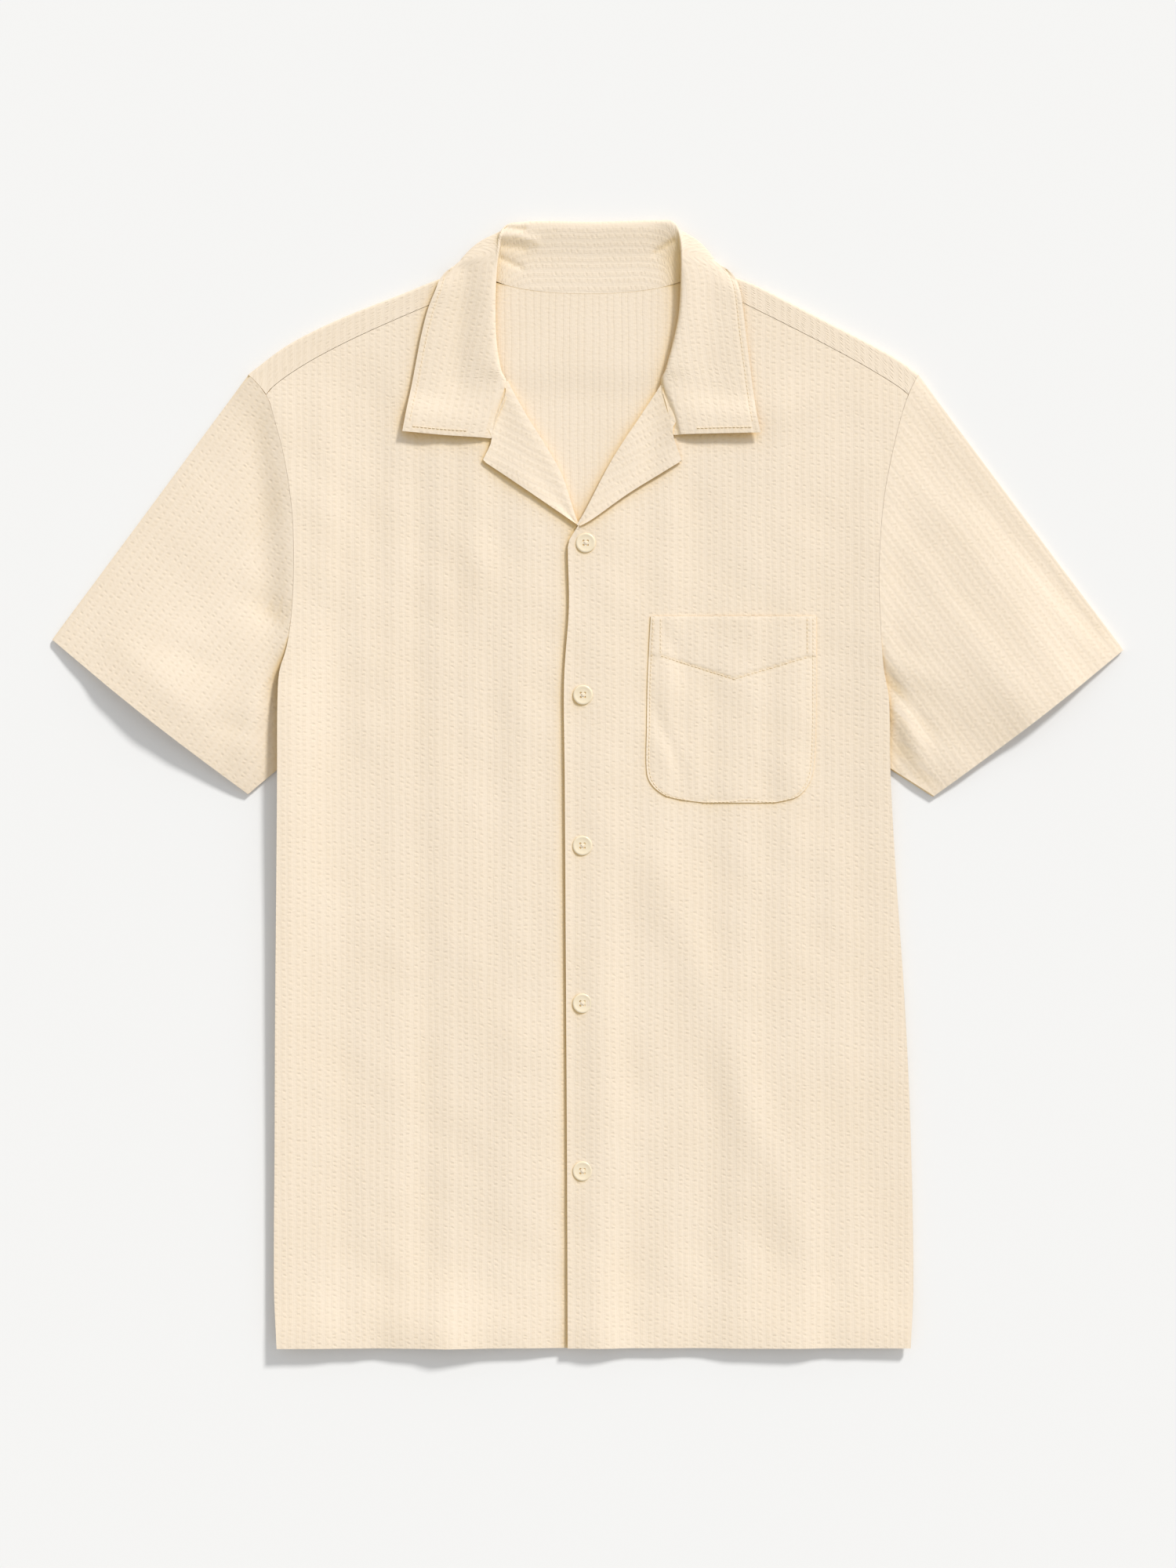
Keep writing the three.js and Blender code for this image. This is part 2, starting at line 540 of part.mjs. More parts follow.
function topOfFronts(x, y) {
  return frontUnder(x, y) + (x > 0 ? overlapRise(x, y) : 0) + CLOTH;
}

// Collar: stand and leaf meet at the roll line
function buildCollar() {
  const stations = COLLAR.map((row) => {
    const o = new THREE.Vector3(Math.cos(radians(row.out)), Math.sin(radians(row.out)), 0);
    const leg = (angle) => {
      const way = o.clone().multiplyScalar(Math.cos(radians(angle)));
      way.z += Math.sin(radians(angle));
      return way.multiplyScalar(ROLL_LEG);
    };
    const n = new THREE.Vector3(...row.n);
    const r = new THREE.Vector3(...row.r);
    const l = new THREE.Vector3(...row.l);
    const e = new THREE.Vector3(...row.e);
    const nearStand = r.clone().add(leg(row.stand));
    const nearLeaf = r.clone().add(leg(row.leaf));
    const middle = n.clone().lerp(nearStand, 0.5);
    return [n, middle, nearStand, r, nearLeaf, l, e];
  });
  const lines = stations[0].map((_, k) => stations.map((points) => points[k]));
  const curves = lines.map((points) => new THREE.CatmullRomCurve3(points, false, "centripetal"));
  const rows = [];
  for (let i = 0; i <= COLLAR_STEPS_ALONG; i += 1) {
    const t = i / COLLAR_STEPS_ALONG;
    const section = new THREE.CatmullRomCurve3(curves.map((curve) => curve.getPoint(t)), false, "centripetal");
    const row = [];
    for (let j = 0; j <= COLLAR_STEPS_ACROSS; j += 1) row.push(section.getPoint(j / COLLAR_STEPS_ACROSS));
    rows.push(row);
  }
  const rollAt = COLLAR_STEPS_ACROSS / 2;
  const leafMiddleAt = (COLLAR_STEPS_ACROSS * 5) / 6;
  const flatEnd = 2 / (COLLAR.length - 1);
  rows.forEach((row, i) => {
    const t = i / COLLAR_STEPS_ALONG;
    const isFlat = t <= flatEnd || t >= 1 - flatEnd;
    const isFront = row[COLLAR_STEPS_ACROSS].z > 2.4;
    row.forEach((p, j) => {
      const isLeaf = j >= rollAt;
      const outside = p.y - backTopY(p.x) - LEAF_CLEARANCE;
      const onTop = isFlat || (isLeaf && (isFront || (j < leafMiddleAt && outside < 4 && Math.abs(p.x) > 66)));
      if (onTop) p.z = Math.max(p.z, topOfFronts(p.x, p.y) + SEAM_GAP + HALF);
      if (!isFront && j > leafMiddleAt) p.z = Math.min(p.z, HALF + Math.max(0, outside) * 0.7);
      p.z = Math.max(p.z, HALF);
    });
  });
  addMesh("collar", wallGeometry(rows, CLOTH), cloth());
}

// Sleeve: a flattened tube between the armhole, the outer fold, the cuff and the lower fold
function buildSleeve(side) {
  const { side: sign, upper, lower, bow } = SLEEVES[side];
  const edge = sign > 0 ? rightEdge : leftEdge;
  const armLength = SHOULDER_TIP_Y - ARM_STOPS[0];
  const arm = (v) => {
    const y = SHOULDER_TIP_Y - v * armLength;
    return new THREE.Vector2(edge(y) + sign * ARMHOLE_GAP, y);
  };
  const cuff = (v) => {
    const belly = bow * Math.sin(Math.PI * v);
    return new THREE.Vector2(mix(upper[0], lower[0], v) + sign * belly * 0.6, mix(upper[1], lower[1], v) - belly * 0.8);
  };
  const plan = (u, v) => cuff(v).lerp(arm(v), u);
  const airAt = (u, v, p) => {
    const crown = EDGE_AIR + 0.5 + 1.7 * Math.max(0, Math.sin(Math.PI * v)) ** 0.7;
    const folds = FOLDS.reduce((sum, fold) => sum + foldHeight(fold, p.x, p.y), 0);
    const own = crown + folds * Math.sin(Math.PI * v);
    const cuffToArm = ease(u * 1.6 - 0.6);
    return Math.max(EDGE_AIR, Math.min(MOST_AIR, mix(own, frontUnder(p.x - sign * ARMHOLE_GAP, p.y) - CLOTH, cuffToArm)));
  };
  const steps = 11;
  const stops = [...ARM_STOPS].reverse().map((y) => (SHOULDER_TIP_Y - y) / armLength);
  const rows = [];
  for (let i = 0; i <= steps; i += 1) {
    const u = i / steps;
    const width = plan(u, 0).distanceTo(plan(u, 1));
    const point = (v, high) => {
      const p = plan(u, v);
      const air = airAt(u, v, p);
      return new THREE.Vector3(p.x, p.y, high ? CLOTH + air + HALF : HALF);
    };
    const inset = 1.6 / width;
    const folded = stops.map((v) => Math.min(1 - inset, Math.max(inset, v)));
    const apex = (v, at) => {
      const p = plan(u, at);
      return new THREE.Vector3(p.x, p.y, (CLOTH + airAt(u, v, p) + CLOTH) / 2);
    };
    const ring = folded.map((v) => point(v, true));
    ring.push(apex(1, 1 - HALF / width));
    for (const v of [...folded].reverse()) ring.push(point(v, false));
    ring.push(apex(0, HALF / width));
    rows.push(ring);
  }
  addMesh("sleeve_" + side, wallGeometry(rows, CLOTH, { ring: true }), cloth());
}

// Patch pocket on the left front
function topOfLeftFront(x, y) {
  return frontUnder(x, y) + overlapRise(x, y) + CLOTH;
}

function buildPocket() {
  const left = evenly(POCKET_ROWS, "left");
  const right = evenly(POCKET_ROWS, "right");
  const height = evenly(POCKET_ROWS, "y");
  const steps = 12;
  const across = 8;
  const rows = [];
  for (let i = 0; i <= steps; i += 1) {
    const v = i / steps;
    const row = [];
    for (let j = 0; j <= across; j += 1) {
      const u = j / across;
      const x = mix(left(v), right(v), u);
      const y = height(v);
      const gape = POCKET_MOUTH_GAPE * Math.sin(Math.PI * u) * (1 - ease(v * 2.2));
      row.push(new THREE.Vector3(x, y, topOfLeftFront(x, y) + SEAM_GAP + POCKET_CLOTH / 2 + 0.15 + gape));
    }
    rows.push(row);
  }
  addMesh("pocket", wallGeometry(rows, POCKET_CLOTH), cloth());
}

// Four-hole button with a raised rim
function buttonGeometry() {
  const r = BUTTON_DIAMETER / 2;
  const t = BUTTON_THICKNESS;
  const profile = [
    [0, 0],
    [r * 0.62, 0],
    [r * 0.9, t * 0.3],
    [r, t * 0.55],
    [r * 0.97, t * 0.85],
    [r * 0.88, t],
    [r * 0.74, t * 0.86],
    [r * 0.6, t * 0.66],
    [0, t * 0.62],
  ].map(([x, y]) => new THREE.Vector2(x, y));
  const disc = new THREE.LatheGeometry(profile, 16);
  disc.rotateX(Math.PI / 2);
  let solid = asManifold(disc);
  for (let k = 0; k < 4; k += 1) {
    const angle = Math.PI / 4 + (k * Math.PI) / 2;
    const hole = new THREE.CylinderGeometry(BUTTON_HOLE_DIAMETER / 2, BUTTON_HOLE_DIAMETER / 2, 3 * t, 6);
    hole.rotateX(Math.PI / 2);
    hole.translate(BUTTON_HOLE_SPREAD * Math.cos(angle), BUTTON_HOLE_SPREAD * Math.sin(angle), 0);
    solid = solid.subtract(asManifold(hole));
  }
  const mesh = solid.getMesh();
  const geometry = new THREE.BufferGeometry();
  geometry.setAttribute("position", new THREE.Float32BufferAttribute(mesh.vertProperties, 3));
  geometry.setIndex([...mesh.triVerts]);
  geometry.computeVertexNormals();
  return geometry;
}

function asManifold(geometry) {
  const bare = geometry.clone();
  bare.deleteAttribute("normal");
  bare.deleteAttribute("uv");
  const merged = mergeVertices(bare, 1e-4);
  let made = new wasm.Manifold(
    new wasm.Mesh({
      numProp: 3,
      vertProperties: merged.attributes.position.array,
      triVerts: new Uint32Array(merged.index.array),
    }),
  );
  if (made.volume() < 0) made = made.scale([1, 1, -1]).scale([1, 1, -1]);
  return made;
}

function buildButtons() {
  BUTTONS.forEach(({ x, y }, i) => {
    const geometry = buttonGeometry();
    const mesh = new THREE.Mesh(geometry, plastic());
    mesh.name = "button_" + (i + 1);
    mesh.position.set(x, y, topOfLeftFront(x, y) + BUTTON_LIFT);
    shirt.add(mesh);
  });
}

buildBack();
buildFront("right");
buildFront("left");
buildFacing("right");
buildFacing("left");
buildCollar();
buildSleeve("right");
buildSleeve("left");
buildPocket();
buildButtons();

export default shirt;
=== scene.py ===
import math

import bpy
import numpy as np
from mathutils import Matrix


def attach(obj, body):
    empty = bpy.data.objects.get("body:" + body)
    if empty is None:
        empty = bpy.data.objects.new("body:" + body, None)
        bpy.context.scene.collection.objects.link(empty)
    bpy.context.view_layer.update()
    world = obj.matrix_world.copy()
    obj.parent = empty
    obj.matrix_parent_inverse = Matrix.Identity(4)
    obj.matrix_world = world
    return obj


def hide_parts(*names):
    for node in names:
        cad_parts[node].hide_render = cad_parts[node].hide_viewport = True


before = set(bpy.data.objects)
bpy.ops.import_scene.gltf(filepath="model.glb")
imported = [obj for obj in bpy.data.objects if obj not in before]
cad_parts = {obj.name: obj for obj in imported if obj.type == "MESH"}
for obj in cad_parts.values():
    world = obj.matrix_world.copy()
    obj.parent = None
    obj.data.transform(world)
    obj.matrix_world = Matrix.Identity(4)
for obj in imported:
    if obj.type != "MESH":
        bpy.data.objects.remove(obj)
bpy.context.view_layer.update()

# Every size below is in millimetres. Meshes are written in metres.
MM = 0.001

# Cloth
CLOTH = 0.95
POCKET_CLOTH = 0.7
SEAM_GAP = 0.3
ARMHOLE_GAP = 0.12
HALF = CLOTH / 2
PLY = CLOTH + SEAM_GAP
OVERLAP_RISE = CLOTH + 0.6

# Body
HEM_Y = -388.3
ARMPIT_Y = 78
SEAM_TIP_Y = 268
SHOULDER_BOW = {"right": 7.5, "left": 3.6}
SHOULDER_TIP_Y = 282.5
FRONT_EDGE_X = -14.5
UNDERLAP_X = 9.5
FRONT_WIDTH = 226
HEM_STITCH = 20
POCKET_EDGE_STITCH = 2
POCKET_STRIPS = (50, 151)
STRIP_FOOT_Y = 88
SLEEVE_HEM_STITCH = 17
EDGE_STITCH = 4
ARMHOLE_STITCH = 9
STITCH_PITCH = 2.7
STITCH_LENGTH = 2.1

# Air under the fronts
EDGE_AIR = 0.35
CROWN = 2.1
MOST_AIR = 5.4
CROWN_RUN = 55

# Relief of the sewing
GROOVE = 0.3
GROOVE_WIDTH = 1.1
HEM_RAISE = 0.2
PLACKET_LIP = 1.35
LAPEL_RISE = 1.3
LEAF_EDGE_RISE = 1.2
LEAF_END_RISE = 2.6
SLEEVE_CROWN = 2.2

# Seersucker: pairs of puckered columns with smooth channels between the pairs
PAIR_PITCH = 10.1
FIRST_COLUMN = 2.85
SECOND_COLUMN = 7.25
PUCKER_PITCH = 4.2
DIMPLE_LEAST = 0.05
DIMPLE_RANGE = 0.16
COLUMN_SWELL = 0.11
WRONG_SIDE_DEPTH = 0.35
WRONG_SIDE_GROOVE = 0.1
WALE_PITCH = 0.9
WALE_HEIGHT = 0.012
GRAIN_HEIGHT = 0.16

# Spacing of the meshes' points: fronts and sleeves, then lapels and pocket, then back
GRAIN = 1.8
FINE_GRAIN = 1.5
BACK_GRAIN = 3.2
THIN_EDGE = 0.8  # the cloth's free edges, as a share of its thickness

CAMERA_HEIGHT = 2.554  # metres

# Light, and the painted shadow: a warm tone painted on cloth that is shut off from the key light
FILL_STRENGTH = 0.585
KEY_STRENGTH = 2.62
KEY_SOFTNESS = 9
KEY_ELEVATION = 32
KEY_AZIMUTH = 147
PAINTED_SHADOW_TINT = (0.93, 0.79, 0.46, 1.0)
PAINTED_SHADOW_REACH = 0.017
PAINTED_SHADOW_THRESHOLD = 0.585
PAINTED_SHADOW_GAIN = 5.5


def table(columns, rows):
    """A short table as {column name: array}."""
    return {name: np.array([row[i] for row in rows], float) for i, name in enumerate(columns)}


BODY_EDGES = table(("y", "left", "right"), [
    (HEM_Y, -214, 222), (-345, -216, 224), (-248, -215.5, 222.4), (-150, -215, 218), (-54, -214, 211.5),
    (8, -213.4, 208.2), (58, -213.2, 207.2), (ARMPIT_Y, -212, 203.8), (93, -207.4, 202.3),
    (116, -204, 201), (146, -202.5, 200.2), (180, -203, 202), (204, -205.5, 204.8),
    (227, -209.5, 209.3), (250, -215.5, 214.8), (SEAM_TIP_Y, -221.5, 220.5),
    (SHOULDER_TIP_Y, -233.8, 227.6),
])

# Side edge against middle edge of each front: front edge, roll line, then neck seam
FRONT_ROWS = table(("side", "right_x", "right_y", "left_x", "left_y"), [
    (HEM_Y, UNDERLAP_X + 0.6, HEM_Y, -14, HEM_Y), (-248, UNDERLAP_X, -248, FRONT_EDGE_X, -248),
    (-118, UNDERLAP_X - 1, -118, FRONT_EDGE_X - 0.8, -118),
    (0, UNDERLAP_X - 1, 0, FRONT_EDGE_X - 1.5, 0), (58, UNDERLAP_X - 1, 70, FRONT_EDGE_X - 2, 70),
    (93, UNDERLAP_X, 120, -13.2, 120), (116, UNDERLAP_X - 1, 146, -13.8, 156),
    (131, UNDERLAP_X - 7, 163, -13.2, 167), (146, -7.2, 179.4, -7.2, 177), (180, -21.6, 214, 9, 203),
    (204, -36.4, 238, 25.8, 232), (227, -53.6, 261.2, 46, 261.2), (242, -74, 284, 66, 285),
    (252, -82.5, 303, 80, 303), (260, -86, 322, 86, 322), (SEAM_TIP_Y, -85, 340, 85, 342),
])

SHOULDER_FOLD = table(("left_x", "left_y", "right_x", "right_y"), [
    (-233.8, SHOULDER_TIP_Y, 227.6, SHOULDER_TIP_Y), (-206, 303, 208, 296), (-170, 321, 164, 319),
    (-126, 338.5, 119, 342), (-102, 348, 98, 350), (-82, 353, 82, 354),
])
BACK_NECK = table(("x", "y"), [
    (-62.6, 345.5), (-45, 341.3), (-22, 338.8), (2, 338.2), (24, 339), (44, 341.3), (60, 344.5),
])

SLEEVES = {
    "left": {
        "side": 1, "upper": (369.3, 92.6), "lower": (237.6, -8.9),
        "cuff_lift": (0.4, 3.0, 6.2, 6.0, 2.6, 2.0, 0.8),
    },
    "right": {
        "side": -1, "upper": (-369.4, 99.6), "lower": (-233.8, -7.3),
        "cuff_lift": (0.4, 3.0, 6.4, 7.6, 6.4, 3.4, 0.6),
    },
}
CUFF_BOW = 1.5
SLEEVE_END_Y = 10
SLEEVE_LENGTH = 228

# Soft folds: a ridge, or a trough where the height is negative, along a line
FOLDS = table(("x0", "y0", "x1", "y1", "width", "height"), [
    (-177, 120, -181, -60, 7, -1.7), (-160, 175, -150, 20, 9, 0.9), (-233, 126, -205, 112, 6, -1.5),
    (-287, 94, -258, 80, 7, -0.8), (-252, 40, -228, 37, 6, -0.9), (-330, 100, -270, 50, 12, 0.8),
    (228, 236, 335, 124, 9, -0.7), (236, 250, 354, 101, 5.5, -2.2), (221, 249, 300, 152, 2.6, -0.6),
    (214, 238, 290, 142, 2.6, -0.6), (211, 224, 262, 158, 2.6, -0.5), (206, 196, 262, 122, 2.6, -0.4),
    (240, 150, 292, 84, 2.6, -0.5), (203, 136, 235, 172, 7, -0.6), (216, 56, 226, 34, 8, 1.7),
    (207, 70, 236, 34, 4, -2.2), (212, 84, 236, 70, 8, 1.6), (210, 24, 236, -2, 3, -1.8),
    (214, 14, 230, -4, 3, 1.2), (48, 48, 62, 12, 5, -0.9), (53, 108, 62, 84, 6, -0.9),
    (-75, 170, -46, 30, 13, 1.1), (-150, -80, -140, -385, 20, 1.2), (-95, -120, -92, -385, 16, -1.0),
    (-48, -160, -52, -385, 18, 1.0), (45, -45, 145, -320, 14, 1.3), (5, -138, 36, -330, 13, 1.1),
    (38, -260, 34, -385, 12, -1.3), (180, -40, 186, -385, 18, 1.1), (122, 251, 176, 285, 13, 1.3),
    (-228, 262, -222, 120, 9, -1.0), (-225, 70, -240, 10, 9, 1.2), (209, 60, 232, 10, 9, 1.2),
    (255, 190, 320, 100, 16, 1.0), (-255, 200, -320, 105, 18, 1.0),
])

# Collar stations, front end of the right leaf, round the back, to the left one
# Lines n, r, l and e are the neck seam, the roll, the leaf's middle and its edge
COLLAR = table([line + axis for line in "nrle" for axis in "xyz"] + ["out", "stand", "leaf"], [
    (-66.6, 238, 5.6, -70.5, 238.2, 5.7, -99, 240, 5.7, -127.6, 242.6, 5.7, 175, 180, 0),
    (-62.6, 252, 5.6, -66, 252.5, 5.8, -96, 256, 5.9, -124.3, 260, 5.7, 175, 200, 10),
    (-56.6, 271, 5.8, -57.6, 277.5, 6.4, -91, 274, 6.2, -121, 276, 5.7, 165, 240, 25),
    (-68, 284.5, 4.2, -60, 284.5, 6.4, -89, 288, 6.4, -118, 292, 5.8, 172, 310, 50),
    (-77, 303, 4.2, -63, 302, 6.6, -90, 305, 6.8, -114.5, 309.5, 6, 170, 310, 50),
    (-81.6, 321.5, 4.2, -64, 322, 7, -88, 325, 7.2, -109.8, 327.5, 6.2, 166, 310, 50),
    (-81, 338, 4.2, -63.8, 342, 7.8, -84, 345, 8, -104.6, 340.4, 6.4, 160, 300, 40),
    (-75, 347.6, 4, -62.8, 357, 9, -83.6, 356, 7.6, -101.6, 348, 4.4, 150, 285, 10),
    (-72, 347.6, 3.7, -62.2, 362.6, 9.4, -87, 359.4, 6.4, -95.8, 353.8, 3.4, 145, 270, -5),
    (-69, 347.5, 3.4, -61.6, 368, 9.6, -86.8, 361.2, 5, -92, 348.5, 2.0, 140, 255, -25),
    (-63.4, 346.4, 2.6, -60.5, 378.5, 8.4, -73.6, 372.0, 3, -80, 329, 0.6, 120, 200, -70),
    (-56, 343.8, 2.0, -55, 385, 5.6, -60, 360, 0.9, -62, 317, 0.6, 100, 150, -115),
    (-44, 341.1, 1.95, -44, 387, 3.0, -45, 350, 0.6, -46, 313, 0.6, 92, 130, -130),
    (-22, 338.6, 1.9, -22, 387.4, 2.8, -22, 349, 0.6, -22, 311.5, 0.6, 90, 130, -130),
    (2, 338.0, 1.9, 2, 387, 2.8, 2, 349, 0.6, 2, 311, 0.6, 90, 130, -130),
    (24, 338.8, 1.9, 26, 387.5, 2.8, 25, 349, 0.6, 24, 311.5, 0.6, 90, 130, -130),
    (44, 341.1, 1.95, 47, 388, 3.0, 47, 350, 0.6, 47, 313, 0.6, 88, 130, -130),
    (54, 343.2, 2.0, 58, 387, 5.6, 61, 360, 0.9, 62, 317, 0.6, 78, 150, -115),
    (61, 345.2, 2.6, 62.4, 380.4, 7.6, 72, 374.6, 4, 77, 325, 0.6, 58, 200, -70),
    (67, 347, 3.4, 64.4, 368, 9.6, 85.8, 362.0, 5.6, 92, 348.5, 2.0, 40, 255, -25),
    (70.6, 347.6, 3.7, 64.4, 362, 9.4, 85.6, 360, 6.4, 95, 354.4, 3.4, 35, 270, -5),
    (74, 348, 4, 64.4, 356, 9, 83, 357.4, 7.6, 100.4, 349.8, 4.2, 30, 285, 10),
    (80.5, 338, 4.2, 64, 341, 8, 84, 346, 8.2, 104.6, 339, 6.4, 20, 300, 40),
    (81, 321.5, 4.2, 62.6, 322, 7.6, 85, 325, 7.6, 107, 324, 6.2, 14, 310, 50),
    (74, 303, 4.2, 58.4, 302, 7, 84, 304, 7, 109.2, 305, 6, 10, 310, 50),
    (60, 285.5, 4.2, 54, 286, 6.6, 83, 287, 6.4, 111.4, 288, 5.8, 8, 310, 50),
    (51.6, 273, 5.8, 51.8, 278.6, 6.5, 84, 275, 6.2, 113.6, 271.5, 5.7, 10, 240, 25),
    (54.6, 257.6, 5.6, 58, 258, 5.8, 87, 258, 5.9, 115.8, 256, 5.7, 5, 200, 10),
    (58.6, 240.4, 5.6, 62.2, 240.4, 5.7, 90, 241.2, 5.7, 118.6, 241.6, 5.7, 5, 180, 0),
])
ROLL_LEG = 2.2
LEAF_CLEARANCE = 3.4

LAPELS = {
    "right": table(("roll_x", "roll_y", "edge_x", "edge_y"), [
        (-6.9, 179.6, -8.2, 178.8), (-9.6, 186, -16, 184.4), (-18, 212, -40, 200.8), (-29, 232, -58, 213),
        (-40.6, 250.2, -71.0, 221.5), (-41.8, 252, -72.6, 222.3), (-42.8, 253.8, -71.9, 224.0),
        (-51.6, 269.5, -66.2, 237.4), (-55.6, 277.5, -70.5, 247),
    ]),
    "left": table(("roll_x", "roll_y", "edge_x", "edge_y"), [
        (-7.6, 178.4, -5.2, 177.5), (-2.2, 186.6, 4, 182.8), (12.4, 215, 28, 200), (22.4, 232, 50, 213.6),
        (33.2, 248.2, 63.0, 221.5), (34.4, 250, 64.6, 222.3), (35.6, 251.8, 64.0, 224.0),
        (49.6, 273.2, 58.2, 242.6), (53.5, 281, 62.5, 252),
    ]),
}
FACING_RETURN = 12
RETURN_ROOM = 0.3

POCKET_ROWS = table(("y", "left", "right"), [
    (115.5, 43.2, 157), (92, 42, 157), (70, 41, 157), (40, 40.5, 156.8), (13, 40.2, 155.5),
    (2, 42.4, 152.8), (-6, 50, 147.4), (-10, 60, 141), (-12.8, 80, 128),
])
POCKET_WIDTH = 116
POCKET_MOUTH_GAPE = 0.8
POCKET_POINT = ((50.2, 88.3), (100.4, 72.4), (152.3, 87.8))

BUTTONS = ((-1.6, 166), (-3.5, 61.3), (-3.8, -42.4), (-3.8, -151), (-3.8, -266.5))
BUTTON_DIAMETER = 13.6
BUTTON_THICKNESS = 2.6
BUTTON_HOLE_DIAMETER = 1.5
BUTTON_HOLE_SPREAD = 2.0
BUTTON_SEAT = -1.5  # the thread pulls the button into the cloth
BUTTON_WELL = 0.84
# Outline of a button, its radius and height as shares, from the underside over the rim to the well
BUTTON_PROFILE = (
    (0.3, 0.0), (0.62, 0.0), (0.8, 0.12), (0.93, 0.34), (0.99, 0.52), (1.0, 0.66), (0.985, 0.82),
    (0.94, 0.95), (0.88, 1.0), (0.82, 0.99), (0.75, 0.95), (0.67, 0.9), (0.6, 0.87), (0.5, 0.85),
    (0.4, BUTTON_WELL),
)


# Curves and surfaces

def ease(t):
    t = np.clip(t, 0, 1)
    return t * t * (3 - 2 * t)


def mix(a, b, t):
    return a + (b - a) * t


def bell(off, width):
    """1 in the middle, fading out over width."""
    return np.exp(-((off / width) ** 2))


def join(*parts):
    """Coordinates, each a number or a grid, as a grid of points."""
    return np.stack(np.broadcast_arrays(*parts), axis=-1)


def curve(keys, values):
    """Smooth curve through the rows of a table, read by its key."""
    order = np.argsort(keys)
    k = np.asarray(keys, float)[order]
    v = np.asarray(values, float)[order]
    before = np.maximum(np.arange(len(k)) - 1, 0)
    after = np.minimum(np.arange(len(k)) + 1, len(k) - 1)
    slope = (v[after] - v[before]) / (k[after] - k[before])

    def read(at):
        at = np.asarray(at, float)
        i = np.clip(np.searchsorted(k, at, side="left") - 1, 0, len(k) - 2)
        span = k[i + 1] - k[i]
        t = np.clip((at - k[i]) / span, 0, 1)
        rise = t * t * (3 - 2 * t)
        lead = t * (1 - t) ** 2 * span * slope[i]
        tail = t * t * (1 - t) * span * slope[i + 1]
        return v[i] + (v[i + 1] - v[i]) * rise + lead - tail

    return read


def evenly(values):
    """The same with the rows evenly spaced from 0 to 1."""
    return curve(np.linspace(0, 1, len(values)), values)


left_edge = curve(BODY_EDGES["y"], BODY_EDGES["left"])
right_edge = curve(BODY_EDGES["y"], BODY_EDGES["right"])

# The wearer's right side is at the picture's left
body_edge = {"right": left_edge, "left": right_edge}

rng = np.random.default_rng(11)
TURN = 2 * math.pi
# Waves of the cloth: turns per millimetre across and along, and where each starts
RUMPLES = [
    (rng.uniform(1 / 60, 1 / 24) * rng.choice((-1, 1)), rng.uniform(-1 / 420, 1 / 420), rng.uniform(0, TURN))
    for _ in range(9)
]
DENTS = [
    (rng.uniform(-1 / 38, 1 / 38), rng.uniform(-1 / 38, 1 / 38), rng.uniform(0, TURN))
    for _ in range(12)
]


def wave_angles(waves, x, y):
    return [TURN * (x * across + y * along) + start for across, along, start in waves]


def rumple(across, along):
    """Slow corrugation that runs along the stripes, about 1 mm high in all."""
    return 0.17 * sum(np.sin(a + 0.6 * np.sin(a * 0.37)) for a in wave_angles(RUMPLES, across, along))


def dents(x, y):
    """Shallow uneven softness in every direction."""
    return 0.05 * sum(np.sin(a) for a in wave_angles(DENTS, x, y))


def fold_sum(x, y):
    total = np.zeros(np.broadcast(x, y).shape)
    for x0, y0, x1, y1, width, height in zip(*FOLDS.values()):
        dx = x1 - x0
        dy = y1 - y0
        length = math.hypot(dx, dy)
        run = ((x - x0) * dx + (y - y0) * dy) / length
        off = ((x - x0) * dy - (y - y0) * dx) / length
        fade = ease(run / 40 + 0.5) * ease((length - run) / 40 + 0.5)
        total = total + height * fade * bell(off, width)
    return total


def soft_limit(air):
    """Keeps the air between its least and most height, without a crease."""
    low = EDGE_AIR
    air = low + np.logaddexp(0, (air - low) * 3) / 3 - 0.05
    return np.clip(MOST_AIR - np.logaddexp(0, (MOST_AIR - air) * 3) / 3, low, MOST_AIR)


HEM_LIFT = table(("x", "lift"), [
    (-216, 6.4), (-190, 5.6), (-165, 3.8), (-140, 2.8), (-118, 5.4), (-100, 7.2), (-82, 6.0),
    (-60, 3.0), (-38, 2.0), (-18, 1.2), (4, 2.6), (30, 2.0), (60, 1.6), (92, 3.0), (122, 4.6),
    (150, 3.4), (178, 2.4), (205, 3.6), (224, 4.0),
])
SIDE_LIFT = table(("y", "left", "right"), [
    (-388, 4.0, 2.6), (-300, 5.4, 2.2), (-200, 6.6, 3.0), (-100, 8.0, 2.4), (-30, 9.8, 3.2),
    (20, 10.6, 3.6), (55, 10.0, 3.4), (78, 6.8, 3.0), (95, 5.0, 2.6), (130, 3.8, 2.0), (200, 3.2, 1.4),
    (255, 1.8, 0.8), (283, 0.2, 0.1), (360, 0, 0),
])
hem_lift = curve(HEM_LIFT["x"], HEM_LIFT["lift"])
left_lift = curve(SIDE_LIFT["y"], SIDE_LIFT["left"])
right_lift = curve(SIDE_LIFT["y"], SIDE_LIFT["right"])


def lift(x, y):
    """Rise of the lower edge and of the sides, where both layers stand off the floor together."""
    low_y = np.minimum(y, ARMPIT_Y)
    left_gap = np.maximum(x - left_edge(low_y), 0)
    right_gap = np.maximum(right_edge(low_y) - x, 0)
    low = hem_lift(x) * bell(y - HEM_Y, 42)
    sides = left_lift(y) * bell(left_gap, 30) + right_lift(y) * bell(right_gap, 26)
    return np.maximum(low, sides) + 0.35 * np.minimum(low, sides)


